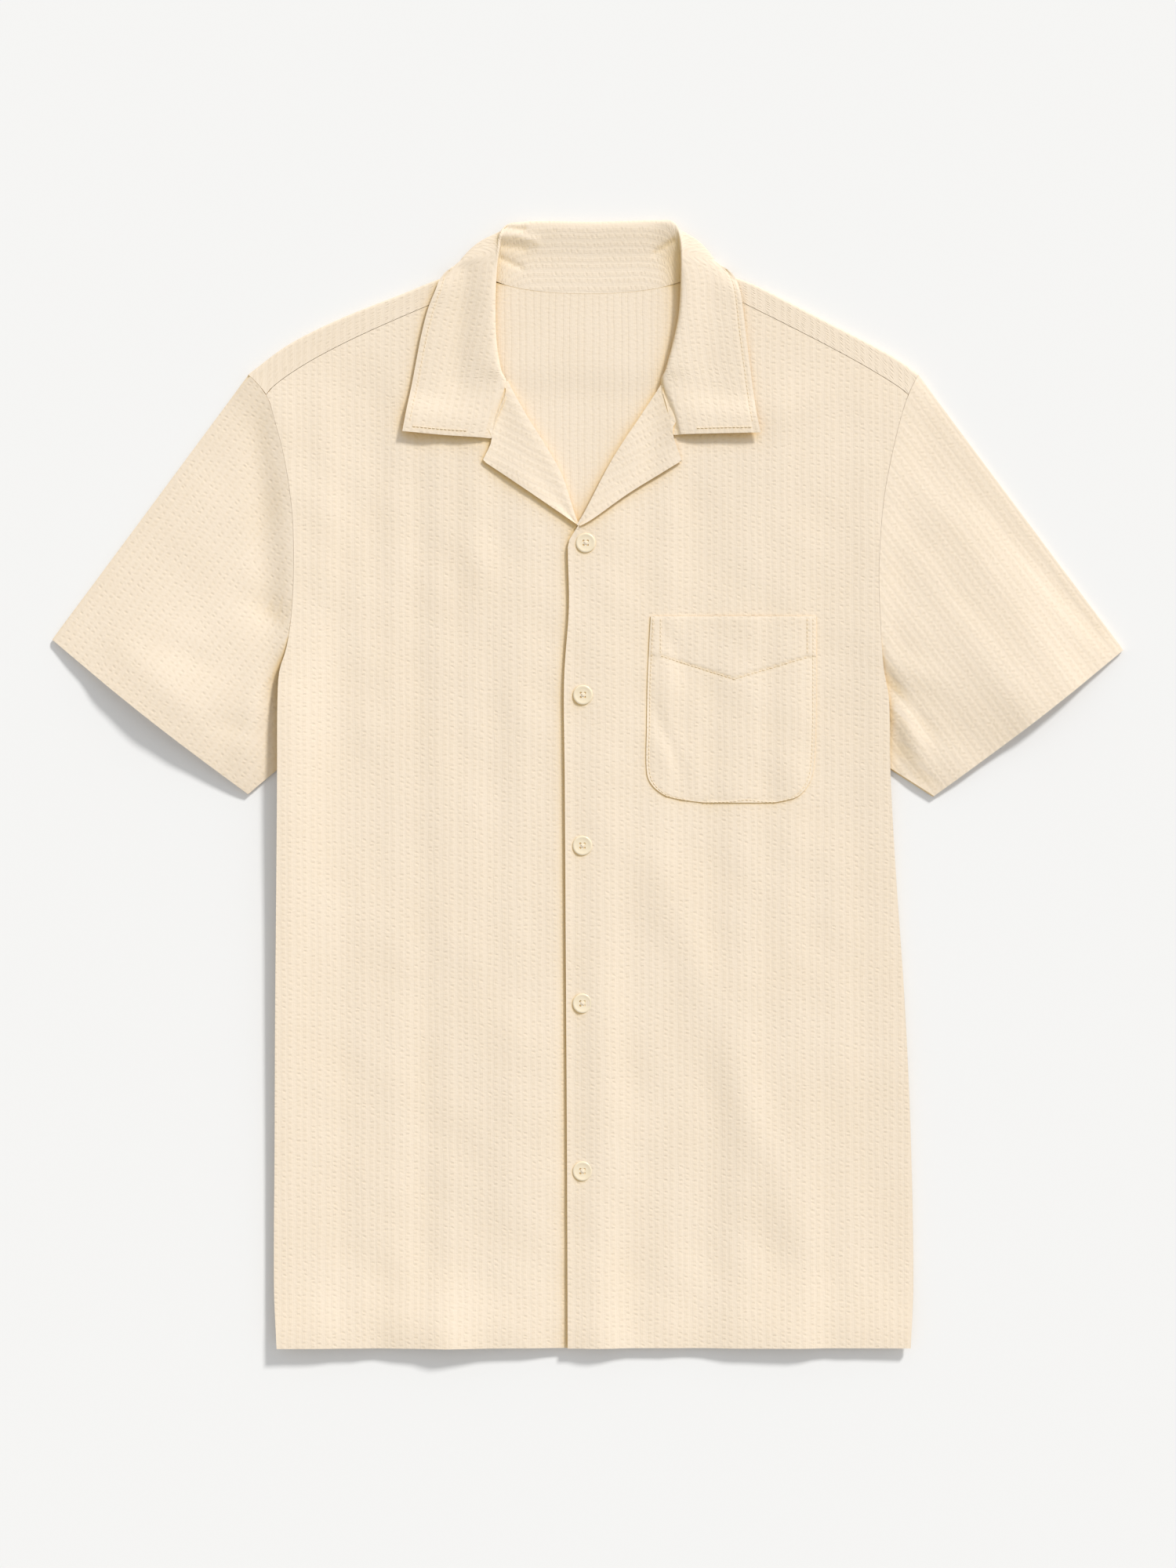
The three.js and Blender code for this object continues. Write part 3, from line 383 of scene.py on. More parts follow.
def front_under(x, y):
    """Underside of the front layer."""
    low_y = np.minimum(y, ARMPIT_Y)
    side_gap = np.minimum(x - left_edge(low_y), right_edge(low_y) - x)
    edge = mix(ease(side_gap / CROWN_RUN), 1, ease((y - 40) / 70))
    wave = 0.35 * np.sin(x / 17) + 0.25 * np.sin(x / 29 + y / 90)
    calm = ease((300 - y) / 60)
    loose = wave + fold_sum(x, y) + rumple(x, y) + dents(x, y)
    return CLOTH + soft_limit(EDGE_AIR + edge * (CROWN + calm * loose)) + lift(x, y)


def overlap_rise(x, y):
    """Extra height of the left front where it lies on the right one."""
    return OVERLAP_RISE * ease((36 - x) / 24) * (1 - ease((y - 188) / 40))


def front_top(x, y):
    return front_under(x, y) + CLOTH + np.where(x > 0, overlap_rise(x, y), 0)


def left_front_top(x, y):
    return front_under(x, y) + overlap_rise(x, y) + CLOTH


# Meshes

def normals_of(points, ring):
    if ring:
        padded = np.concatenate([points[:, -1:], points, points[:, :1]], axis=1)
        down = np.gradient(padded, axis=0)[:, 1:-1]
        over = np.gradient(padded, axis=1)[:, 1:-1]
    else:
        down = np.gradient(points, axis=0)
        over = np.gradient(points, axis=1)
    normal = np.cross(down, over)
    return normal / np.maximum(np.linalg.norm(normal, axis=2, keepdims=True), 1e-9)


def write_mesh(name, points, faces, cloth=None):
    """Mesh object from points in millimetres; cloth is the place of each point on the cloth."""
    mesh = bpy.data.meshes.new(name)
    mesh.from_pydata((np.asarray(points) * MM).tolist(), [], faces)
    if cloth is not None:
        place = mesh.attributes.new("cloth", "FLOAT_VECTOR", "POINT")
        place.data.foreach_set("vector", np.asarray(cloth, np.float32).ravel())
    mesh.polygons.foreach_set("use_smooth", [True] * len(mesh.polygons))
    mesh.validate()
    mesh.update()
    mesh.set_sharp_from_angle(angle=math.radians(52))
    made = bpy.data.objects.new(name, mesh)
    bpy.context.scene.collection.objects.link(made)
    return made


def stop_list(count, stride):
    stops = list(range(0, count - 1, stride))
    if count - 1 - stops[-1] < stride / 2 and len(stops) > 1:
        stops[-1] = count - 1
    else:
        stops.append(count - 1)
    return stops


def shell(name, middle, place, relief=0, thickness=CLOTH, stride=4, ring=False, flip=False):
    """A thin closed shell: a fine outer face with relief, and a coarser inner face.

    middle is a grid of middle points, place the grid of (across, along) on the cloth.
    Returns the object and its outer points.
    """
    ni, nj = middle.shape[:2]
    normal = normals_of(middle, ring)
    if flip:
        normal = -normal
    keep = np.ones((ni, nj))
    keep[0] = keep[-1] = THIN_EDGE
    if not ring:
        keep[:, 0] = keep[:, -1] = THIN_EDGE
    raised = (thickness / 2 * keep + relief * np.where(keep < 1, 0.3, 1))[..., None]
    outer = middle + normal * raised
    inner = middle - normal * (thickness / 2 * keep)[..., None]
    rows = stop_list(ni, stride)
    cols = stop_list(nj + (1 if ring else 0), stride)
    kept = [c % nj for c in cols[: len(cols) - (1 if ring else 0)]]
    low = inner[rows][:, kept]
    first = ni * nj
    width = low.shape[1]

    def hi(i, j):
        return i * nj + j % nj

    def lo(a, b):
        return first + a * width + b % width

    i = np.arange(ni - 1)[:, None]
    j = np.arange(nj if ring else nj - 1)[None, :]
    faces = join(hi(i, j), hi(i + 1, j), hi(i + 1, j + 1), hi(i, j + 1)).reshape(-1, 4).tolist()
    for a in range(len(rows) - 1):
        for b in range(len(cols) - 1):
            faces.append([lo(a, b + 1), lo(a + 1, b + 1), lo(a + 1, b), lo(a, b)])
    last = len(rows) - 1
    for b in range(len(cols) - 1):
        steps = range(cols[b], cols[b + 1] + 1)
        faces.append([hi(0, s) for s in steps] + [lo(0, b + 1), lo(0, b)])
        faces.append([hi(ni - 1, s) for s in reversed(steps)] + [lo(last, b), lo(last, b + 1)])
    for a in range(0 if ring else last):
        steps = range(rows[a], rows[a + 1] + 1)
        faces.append([hi(s, 0) for s in reversed(steps)] + [lo(a, 0), lo(a + 1, 0)])
        faces.append([hi(s, nj - 1) for s in steps] + [lo(a + 1, width - 1), lo(a, width - 1)])
    if flip:
        faces = [face[::-1] for face in faces]
    points = np.concatenate([outer.reshape(-1, 3), low.reshape(-1, 3)])
    side = np.concatenate([np.ones(first), np.zeros(len(points) - first)])
    flat = np.concatenate([place.reshape(-1, 2), place[rows][:, kept].reshape(-1, 2)])
    return write_mesh(name, points, faces, np.column_stack([flat, side])), outer


def cut_shell(name, middle, place, has, side):
    """A shell with cells left out and both faces equally fine.

    side tells the cloth's right side, 1, from its wrong side, 2, for the material.
    """
    ni, nj = middle.shape[:2]
    normal = -normals_of(middle, False)
    outer = middle + normal * HALF
    inner = middle - normal * HALF
    count = ni * nj
    i, j = np.nonzero(has)
    a, b, c, d = i * nj + j, (i + 1) * nj + j, (i + 1) * nj + j + 1, i * nj + j + 1
    faces = np.stack([a, b, c, d], 1).tolist() + (np.stack([d, c, b, a], 1) + count).tolist()
    padded = np.pad(has, 1)
    for di, dj, p, q in ((-1, 0, d, a), (1, 0, b, c), (0, -1, a, b), (0, 1, c, d)):
        bare = ~padded[i + 1 + di, j + 1 + dj]
        faces += np.stack([p, p + count, q + count, q], 1)[bare].tolist()
    used = np.zeros(count, bool)
    used[np.concatenate([a, b, c, d])] = True
    both = np.concatenate([used, used])
    renumber = np.cumsum(both) - 1
    faces = [[int(renumber[v]) for v in reversed(face)] for face in faces]
    points = np.concatenate([outer.reshape(-1, 3), inner.reshape(-1, 3)])[both]
    flat = place.reshape(-1, 2)
    sides = np.concatenate([np.broadcast_to(side, (ni, nj)).ravel(), np.zeros(count)])
    cloth = np.column_stack([np.concatenate([flat, flat]), sides])[both]
    return write_mesh(name, points, faces, cloth), outer


def even_steps(curves, spacing):
    """Parameters 0 to 1 at which a family of curves is cut into nearly even steps."""
    fine = np.linspace(0, 1, 1500)
    length = sum(np.linalg.norm(np.diff(read(fine), axis=0), axis=1) for read in curves)
    run = np.concatenate([[0], np.cumsum(length / len(curves))])
    count = max(8, int(round(run[-1] / spacing)))
    return np.interp(np.linspace(0, run[-1], count + 1), run, fine)


def plan_line(read_x, read_y):
    return lambda t: join(read_x(t), read_y(t))


def run_length(points, axis=0):
    """Distance along a grid of points from its first row or column."""
    steps = np.linalg.norm(np.diff(points, axis=axis), axis=-1)
    start = np.zeros_like(np.take(steps, [0], axis=axis))
    return np.concatenate([start, np.cumsum(steps, axis=axis)], axis=axis)


# Fronts

def shoulder_bow(side, t):
    """How far the shoulder seam bends up from a straight line, from the armhole at 0 to the neck at 1."""
    return SHOULDER_BOW[side] * np.sin(np.pi * t ** 0.6)


def front_plan(side):
    middle_x = evenly(FRONT_ROWS[side + "_x"])
    middle_y = evenly(FRONT_ROWS[side + "_y"])
    side_y = evenly(FRONT_ROWS["side"])
    edge = body_edge[side]
    v = even_steps([lambda t: join(edge(side_y(t)), side_y(t)), plan_line(middle_x, middle_y)], GRAIN)
    u = np.linspace(0, 1, int(FRONT_WIDTH / GRAIN))
    y0 = side_y(v)[:, None]
    x = mix(edge(y0), middle_x(v)[:, None], u[None, :])
    y = mix(y0, middle_y(v)[:, None], u[None, :])
    near_seam = ease((y0 - 190) / (SEAM_TIP_Y - 190))
    y = y + near_seam * shoulder_bow(side, u)[None, :]
    return x, y


def near_line(x, y, line, width):
    """1 on a broken line, fading out over width."""
    best = np.full(np.broadcast(x, y).shape, 1e9)
    for (ax, ay), (bx, by) in zip(line[:-1], line[1:]):
        dx, dy = bx - ax, by - ay
        t = np.clip(((x - ax) * dx + (y - ay) * dy) / (dx * dx + dy * dy), 0, 1)
        best = np.minimum(best, np.hypot(x - ax - t * dx, y - ay - t * dy))
    return bell(best, width)


def armhole_line(side, inset):
    inset = inset if side == "right" else -inset
    return [(float(body_edge[side](y)) + inset, float(y)) for y in np.linspace(86, 262, 40)]


def make_front(side):
    x, y = front_plan(side)
    rise = overlap_rise(x, y) if side == "left" else 0
    from_middle = np.linspace(1, 0, x.shape[1])[None, :] * FRONT_WIDTH
    lip = PLACKET_LIP * bell(from_middle, 6) if side == "left" else 0
    middle = join(x, y, front_under(x, y) + rise + lip + HALF)
    from_hem = y - HEM_Y - HEM_STITCH
    relief = HEM_RAISE * ease(-from_hem / 2) - GROOVE * bell(from_hem, GROOVE_WIDTH)
    relief = relief - GROOVE * near_line(x, y, armhole_line(side, ARMHOLE_STITCH), 1.2)
    if side == "left":
        relief = relief - 0.22 * near_line(x, y, placket_line(), 0.9)
    return shell("front_" + side + "_cloth", middle, join(x, y), relief, flip=side == "left")


def placket_line():
    x = FRONT_EDGE_X + EDGE_STITCH
    return [(x + 0.3, HEM_Y + 1), (x - 1, 60), (-8.6, 120), (-8, 160), (-4, 176)]


# Back with its shoulder strips

def lift_over_leaf(x, y):
    return PLY * ease((y - 264) / 26) * (1 - ease((np.abs(x) - 108) / 26))


def make_back():
    """The panel, then its fold over the shoulders, then the two strips that lie on the front."""
    shoulder_columns = 48
    neck_columns = 40
    strip_rows = 14
    fold_rows = 7
    columns = 2 * shoulder_columns + neck_columns
    j = np.arange(columns + 1)
    is_left = j <= shoulder_columns
    is_right = j >= shoulder_columns + neck_columns
    on_shoulder = is_left | is_right
    t = np.where(is_left, j, columns - j) / shoulder_columns
    t_neck = np.clip((j - shoulder_columns - 1) / (neck_columns - 2), 0, 1)

    def top_line(axis):
        left, right = (evenly(SHOULDER_FOLD[side + axis])(t) for side in ("left_", "right_"))
        return np.where(is_left, left, np.where(is_right, right, evenly(BACK_NECK[axis])(t_neck)))

    top_x, top_y = top_line("x"), top_line("y")
    in_x = np.where(is_left, 0.42, -0.42) * on_shoulder
    in_y = -0.91 * on_shoulder
    under = front_under(top_x, top_y)
    radius = under / 2
    turned_x = top_x + in_x * radius
    turned_y = top_y + in_y * radius
    top_side = turned_y[0]
    side_y = HEM_Y + (top_side - HEM_Y) * np.linspace(0, 1, int((top_side - HEM_Y) / BACK_GRAIN)) ** 0.97
    rise = ((side_y - HEM_Y) / (top_side - HEM_Y))[:, None] ** 6
    shift = turned_x - mix(left_edge(top_side), right_edge(top_side), j / columns)
    shift[0] = shift[-1] = 0
    x = mix(left_edge(side_y)[:, None], right_edge(side_y)[:, None], j / columns) + rise * shift
    y = side_y[:, None] + rise * (turned_y - top_side)
    panel = join(x, y, HALF + lift_over_leaf(x, y) + lift(x, y))

    last = {name: values[-1] for name, values in FRONT_ROWS.items()}
    t_seam = np.clip(t, 0, 1)
    seam_x = np.where(
        is_left,
        mix(left_edge(last["side"]), last["right_x"], t),
        mix(right_edge(last["side"]), last["left_x"], t),
    )
    seam_y = np.where(
        is_left,
        mix(last["side"], last["right_y"], t) + shoulder_bow("right", t_seam),
        mix(last["side"], last["left_y"], t) + shoulder_bow("left", t_seam),
    )
    low_z = HALF + lift_over_leaf(turned_x, turned_y)
    top_z = np.maximum(under, low_z + HALF + EDGE_AIR) + HALF
    rows = []
    for angle in np.radians(np.linspace(-90, 90, fold_rows + 1)[1:]):
        out = math.cos(angle) * (radius - HALF)
        z = (top_z + low_z) / 2 + (top_z - low_z) / 2 * math.sin(angle)
        rows.append(join(turned_x - in_x * out, turned_y - in_y * out, z))
    for k in np.linspace(0, 1, strip_rows + 1)[1:]:
        sx = mix(turned_x, seam_x - in_x * SEAM_GAP, k)
        sy = mix(turned_y, seam_y - in_y * SEAM_GAP, k)
        sx[0] = left_edge(sy[0])
        sx[-1] = right_edge(sy[-1])
        sz = np.maximum(front_under(sx, sy), lift_over_leaf(sx, sy) + CLOTH + EDGE_AIR) + HALF
        rows.append(join(sx, sy, sz))
    middle = np.concatenate([panel, rows])
    has = np.ones((len(middle) - 1, columns), bool)
    has[len(panel) - 1 :, ~(on_shoulder[:-1] & on_shoulder[1:])] = False
    run = panel[-1, :, 1] + np.cumsum(np.ones((len(rows), 1)) * 2.2, axis=0)
    place = np.stack([middle[..., 0], np.concatenate([panel[..., 1], run])], axis=-1)
    wrong_side_up = np.arange(len(middle)) < len(panel)
    return cut_shell("back_cloth", middle, place, has, np.where(wrong_side_up, 2.0, 1.0)[:, None])


# Lapels

def make_facing(side):
    """A lapel: its return inside the front, its roll, then the face that lies turned over."""
    sign = -1 if side == "right" else 1
    reads = [evenly(values) for values in LAPELS[side].values()]
    v = even_steps([plan_line(*reads[:2]), plan_line(*reads[2:])], FINE_GRAIN)
    roll_x, roll_y, edge_x, edge_y = (read(v) for read in reads)
    out_x, out_y = sign * 0.83, -0.56
    drop = SEAM_GAP + RETURN_ROOM + HALF
    above = CLOTH + SEAM_GAP + HALF
    columns = []

    def rise(x, y):
        return overlap_rise(x, y) if side == "left" else 0

    for back in np.linspace(FACING_RETURN, 1, 6):
        x, y = roll_x + out_x * back, roll_y + out_y * back
        columns.append((x, y, front_under(x, y) + rise(x, y) - drop))
    low = front_under(roll_x, roll_y) + rise(roll_x, roll_y) - drop
    high = front_under(roll_x + out_x, roll_y + out_y) + rise(roll_x, roll_y) + above
    for angle in np.radians((-60, -25, 10, 45, 75)):
        reach = 1 - 1.6 * math.cos(angle)
        z = (low + high) / 2 + (high - low) / 2 * math.sin(angle)
        columns.append((roll_x + out_x * reach, roll_y + out_y * reach, z))
    face_columns = 30
    for k in np.linspace(0, 1, face_columns):
        x, y = mix(roll_x + out_x, edge_x, k), mix(roll_y + out_y, edge_y, k)
        bulge = 0.15 * bell(k * face_columns, 7) + LAPEL_RISE * ease((k - 0.4) / 0.6)
        columns.append((x, y, front_under(x, y) + rise(x, y) + above + bulge))
    middle = np.stack([join(*column) for column in columns], axis=1)
    across = middle[..., 0] * 0.45 * -sign + middle[..., 1] * 0.89
    along = middle[..., 0] * 0.89 + middle[..., 1] * 0.45 * sign
    place = join(across, along)
    return shell("facing_" + side + "_cloth", middle, place, stride=3, flip=side == "right")


# Collar

def catmull(points, at):
    """Centripetal Catmull-Rom through points (n, ..., 3), read at 0 to 1 by index."""
    n = len(points)
    first = 2 * points[0] - points[1]
    last = 2 * points[-1] - points[-2]
    p = np.concatenate([first[None], points, last[None]])
    result = []
    for value in at:
        place = value * (n - 1)
        k = min(int(math.floor(place)), n - 2)
        w = place - k
        p0, p1, p2, p3 = p[k : k + 4]
        d0, d1, d2 = (
            np.maximum(np.sum((b - a) ** 2, axis=-1) ** 0.25, 1e-4)[..., None]
            for a, b in ((p0, p1), (p1, p2), (p2, p3))
        )
        t1 = ((p1 - p0) / d0 - (p2 - p0) / (d0 + d1) + (p2 - p1) / d1) * d1
        t2 = ((p2 - p1) / d1 - (p3 - p1) / (d1 + d2) + (p3 - p2) / d2) * d1
        c2 = -3 * p1 + 3 * p2 - 2 * t1 - t2
        c3 = 2 * p1 - 2 * p2 + t1 + t2
        result.append(p1 + t1 * w + c2 * w * w + c3 * w * w * w)
    return np.stack(result)


def back_top(x):
    parts = (SHOULDER_FOLD, "left_"), (BACK_NECK, ""), (SHOULDER_FOLD, "right_")
    xs, ys = (np.concatenate([rows[side + axis] for rows, side in parts]) for axis in "xy")
    return curve(xs, ys)(x)


def make_collar():
    n, r, l, e = (join(*(COLLAR[line + axis] for axis in "xyz")) for line in "nrle")
    out = np.radians(COLLAR["out"])

    def leg(angle):
        a = np.radians(angle)
        return ROLL_LEG * join(np.cos(out) * np.cos(a), np.sin(out) * np.cos(a), np.sin(a))

    near_stand = r + leg(COLLAR["stand"])
    near_leaf = r + leg(COLLAR["leaf"])
    at_back = ease((np.abs(np.sin(out)) - 0.75) / 0.2)[:, None] * (e[:, 2:] < 1.2)
    stand_middle = (n + near_stand) / 2
    stand_middle = stand_middle - at_back * np.array([0, 0, 1.0]) * 0.3 * (near_stand - n)[:, 2:]
    stations = np.stack([n, stand_middle, near_stand, r, near_leaf, l, e], axis=1)
    along_count = 330
    knots = np.swapaxes(catmull(stations, np.linspace(0, 1, along_count)), 0, 1)
    parts = ((0, 2, 26), (2, 4, 11), (4, 6, 44))
    at = np.unique(np.concatenate([np.linspace(low / 6, high / 6, count) for low, high, count in parts]))
    middle = np.swapaxes(catmull(knots, at), 0, 1)
    at = at[None, :]
    x, y, z = middle[..., 0], middle[..., 1], middle[..., 2]
    t = np.linspace(0, 1, along_count)[:, None]
    from_end = np.minimum(t, 1 - t) * (len(n) - 1)

    # the ends and the leaves lie on the fronts, and the back's leaf lies under the back
    is_flat = 1 - ease((from_end - 1.6) / 0.8)
    front = ease((z[:, -1:] - 1.2) / 2)
    outside = y - back_top(x) - LEAF_CLEARANCE
    leaf = ease((at - 3 / 6) / 0.05)
    after_middle = ease((at - 5 / 6 + 0.02) / 0.05)
    shoulder = (1 - ease((outside - 2) / 4)) * ease((np.abs(x) - 64) / 4) * (1 - after_middle)
    floor = front_top(x, y) + SEAM_GAP + HALF
    on_top = np.clip(is_flat + leaf * np.maximum(front, shoulder), 0, 1)
    z = z + on_top * (np.maximum(z, floor) - z)
    ceiling = HALF + np.maximum(0, outside) * 0.7
    under = (1 - front) * after_middle
    z = z + under * (np.minimum(z, ceiling) - z)
    z = np.maximum(z, HALF)

    # puckered corners where the stand turns into the fronts' leaves
    in_stand = at < 0.45
    ridge = near_line(x, y, [(-63, 377), (-50, 377.5), (-36, 374)], 2.6) * in_stand
    crease = 0
    for line, width in (
        ([(-61, 371), (-44, 369)], 1.8),
        ([(-58, 383), (-44, 382)], 1.6),
        ([(-60, 362), (-46, 356)], 2.0),
        ([(46, 366), (59, 374)], 1.8),
    ):
        crease = crease + near_line(x, y, line, width)
    z = z + 1.2 * ridge - 0.9 * crease * in_stand

    # free edges stand up, and a soft hollow lies beside the right leaf's roll
    z = z + LEAF_EDGE_RISE * front * ease((at - 0.82) / 0.18)
    lower_edge = np.exp(-((from_end / 1.3) ** 4)) * ease((at - 0.45) / 0.42)
    z = z + 0.3 * np.exp(-((from_end / 1.5) ** 4)) + LEAF_END_RISE * lower_edge
    hollow = near_line(x, y, [(-84, 352), (-87, 316), (-91, 280)], 9) * front * ease((at - 0.52) / 0.1)
    z = z - 1.1 * hollow * (x < 0)

    middle = join(x, y, z)
    from_neck = run_length(middle, axis=1)
    across = from_neck[:, -1:] - from_neck
    along = run_length(middle[:, 60])[:, None]
    relief = -0.25 * bell(across - EDGE_STITCH, 0.9) * ease((at - 0.6) / 0.05)
    return shell("collar_cloth", middle, join(across, along), relief, stride=3)


# Sleeves

def make_sleeve(side):
    spec = SLEEVES[side]
    sign = spec["side"]
    edge = body_edge[side]
    arm_length = SHOULDER_TIP_Y - SLEEVE_END_Y
    upper, lower = np.array(spec["upper"]), np.array(spec["lower"])

    def arm(v):
        y = SHOULDER_TIP_Y - v * arm_length
        return join(edge(y) + sign * ARMHOLE_GAP, y)

    def cuff(v):
        belly = CUFF_BOW * np.sin(np.pi * v)
        x = mix(upper[0], lower[0], v) + sign * belly * 0.6
        y = mix(upper[1], lower[1], v) - belly * 0.8
        return join(x, y)

    u = np.linspace(0, 1, int(SLEEVE_LENGTH / GRAIN))[:, None]
    flat = even_steps([arm, cuff], GRAIN)
    width = np.linalg.norm(mix(cuff(0.0), arm(0.0), u) - mix(cuff(1.0), arm(1.0), u), axis=-1, keepdims=True)
    turn = 7
    cuff_lift = evenly(spec["cuff_lift"])

    def air(v, p):
        crown = EDGE_AIR + 0.1 + SLEEVE_CROWN * np.maximum(0, np.sin(np.pi * v)) ** 0.7
        x, y = p[..., 0], p[..., 1]
        loose = 0.8 * rumple(x * 0.8 * sign + y * 0.6, x * 0.6 * sign - y * 0.8) + dents(x, y)
        own = soft_limit(crown + loose * np.sin(np.pi * v) ** 0.6)
        reach = np.linalg.norm(arm(v) - cuff(v), axis=-1)
        own = own + cuff_lift(v) * bell(u * reach, 85)
        seam = arm(v)
        under_body = 1 - ease((seam[..., 1] - 70) / 40)
        seam_air = front_under(seam[..., 0] - sign * ARMHOLE_GAP, seam[..., 1]) - CLOTH
        seam_air = seam_air - under_body * lift(seam[..., 0], seam[..., 1])
        away = (1 - u) * reach
        folds = fold_sum(x, y) * (1 - bell(away, 3)) * np.minimum(1, 6 * np.sin(np.pi * v))
        return np.maximum(mix(own, seam_air, bell(away, 15)) + 1.3 * folds, EDGE_AIR)

    inset = 1.7 / width
    v_flat = inset + (1 - 2 * inset) * flat[None, :]
    ends = u[..., None]
    p = mix(cuff(v_flat), arm(v_flat), ends)
    a = air(v_flat, p)
    top = np.concatenate([p, (CLOTH + a + HALF)[..., None]], axis=-1)
    bottom = np.concatenate([p, np.full(a.shape + (1,), HALF)], axis=-1)

    def bend(v_edge, v_inner, source):
        tip = mix(cuff(v_edge), arm(v_edge), ends)[:, 0]
        inner = mix(cuff(v_inner), arm(v_inner), ends)[:, 0]
        high, low = top[:, source], bottom[:, source]
        pieces = []
        for angle in np.radians(np.linspace(90, -90, turn + 2)[1:-1]):
            z = (high[:, 2] + low[:, 2]) / 2 + (high[:, 2] - low[:, 2]) / 2 * math.sin(angle)
            pieces.append(np.column_stack([mix(inner, tip, math.cos(angle)), z]))
        return np.stack(pieces, axis=1)

    tip_in = HALF / width
    far = bend(1 - tip_in, 1 - inset, -1)
    near = bend(tip_in, inset, 0)[:, ::-1]
    ring = np.concatenate([top, far, bottom[:, ::-1], near], axis=1)
    way_x, way_y = (arm(0.0) - upper) / np.linalg.norm(arm(0.0) - upper)
    across = -ring[..., 0] * way_y + ring[..., 1] * way_x
    along = ring[..., 0] * way_x + ring[..., 1] * way_y
    place = join(across, along)
    from_hem = u * SLEEVE_LENGTH - SLEEVE_HEM_STITCH
    relief = HEM_RAISE * ease(-from_hem / 2) - GROOVE * bell(from_hem, GROOVE_WIDTH)
    count = top.shape[1]
    has_relief = np.ones(ring.shape[1])
    has_relief[count + turn : 2 * count + turn] = 0
    made, outer = shell(
        "sleeve_" + side + "_cloth", ring, place, relief * has_relief, ring=True, flip=side == "left"
    )
    return made, outer[:, :count]


# Pocket

def make_pocket():
    left, right, height = (evenly(POCKET_ROWS[k]) for k in ("left", "right", "y"))
    v = even_steps([lambda t: join(100.0 + 0 * t, height(t))], FINE_GRAIN)[:, None]
    u = np.linspace(0, 1, int(POCKET_WIDTH / FINE_GRAIN))[None, :]
    x = mix(left(v), right(v), u)
    y = height(v) + 0 * u
    gape = POCKET_MOUTH_GAPE * np.sin(np.pi * u) * (1 - ease(v * 2.2))
    z = left_front_top(x, y) + 0.1 + POCKET_CLOTH / 2 + gape
    edges = np.minimum(np.minimum(x - left(v), right(v) - x), y - POCKET_ROWS["y"].min())
    strips = ease((POCKET_STRIPS[0] - x) / 1.2) + ease((x - POCKET_STRIPS[1]) / 1.2)
    point_x, point_y = zip(*POCKET_POINT)
    band = ease((y - np.interp(x, point_x, point_y)) / 1.5)
    relief = 0.3 * strips * (y > STRIP_FOOT_Y) - 0.28 * bell(edges - POCKET_EDGE_STITCH, 0.9)
    relief = relief + 0.28 * band - GROOVE * near_line(x, y, POCKET_POINT, 1.0)
    middle = join(x, y, z)
    return shell("pocket_cloth", middle, join(x + 3, y + 1), relief, thickness=POCKET_CLOTH, stride=3)


# Buttons

def circle(radius, z, sides, x=0.0, y=0.0):
    angles = [TURN * k / sides for k in range(sides)]
    return [(x + radius * math.cos(a), y + radius * math.sin(a), z) for a in angles]


def make_button(number, x, y):
    """A turned disc with four holes. Returns it and the height of its underside."""
    r = BUTTON_DIAMETER / 2
    t = BUTTON_THICKNESS
    around = 64
    points = [(0, 0, 0)]
    for radius, height in BUTTON_PROFILE:
        points += circle(r * radius, t * height, around)
    points.append((0, 0, t * BUTTON_WELL))
    last_ring = 1 + (len(BUTTON_PROFILE) - 1) * around
    faces = []
    for k in range(around):
        q = (k + 1) % around
        faces.append([0, 1 + q, 1 + k])
        for a in range(1, last_ring, around):
            faces.append([a + k, a + q, a + around + q, a + around + k])
        faces.append([last_ring + k, last_ring + q, len(points) - 1])
    disc = write_mesh("button_" + str(number) + "_disc", points, faces)

    sides = 20
    cutter_points, cutter_faces = [], []
    for hole in range(4):
        angle = math.pi / 4 + hole * math.pi / 2
        cx, cy = BUTTON_HOLE_SPREAD * math.cos(angle), BUTTON_HOLE_SPREAD * math.sin(angle)
        low = len(cutter_points)
        high = low + sides
        for z in (-1, t + 1):
            cutter_points += circle(BUTTON_HOLE_DIAMETER / 2, z, sides, cx, cy)
        cutter_faces.append([low + k for k in reversed(range(sides))])
        cutter_faces.append([high + k for k in range(sides)])
        for k in range(sides):
            q = (k + 1) % sides
            cutter_faces.append([low + k, low + q, high + q, high + k])
    cutter = write_mesh("button_cutter", cutter_points, cutter_faces)
    cut = disc.modifiers.new("holes", "BOOLEAN")
    cut.operation = "DIFFERENCE"
    cut.object = cutter
    cut.solver = "EXACT"
    final = bpy.data.meshes.new_from_object(disc.evaluated_get(bpy.context.evaluated_depsgraph_get()))
    disc.modifiers.clear()
    disc.data = final
    bpy.data.objects.remove(cutter)
    base = float(left_front_top(np.float64(x), np.float64(y))) + BUTTON_SEAT
    co = np.zeros(len(final.vertices) * 3)
    final.vertices.foreach_get("co", co)
    final.vertices.foreach_set("co", (co.reshape(-1, 3) + np.array([x, y, base]) * MM).ravel())
    final.polygons.foreach_set("use_smooth", [True] * len(final.polygons))
    final.update()
    final.set_sharp_from_angle(angle=math.radians(40))
    return disc, base


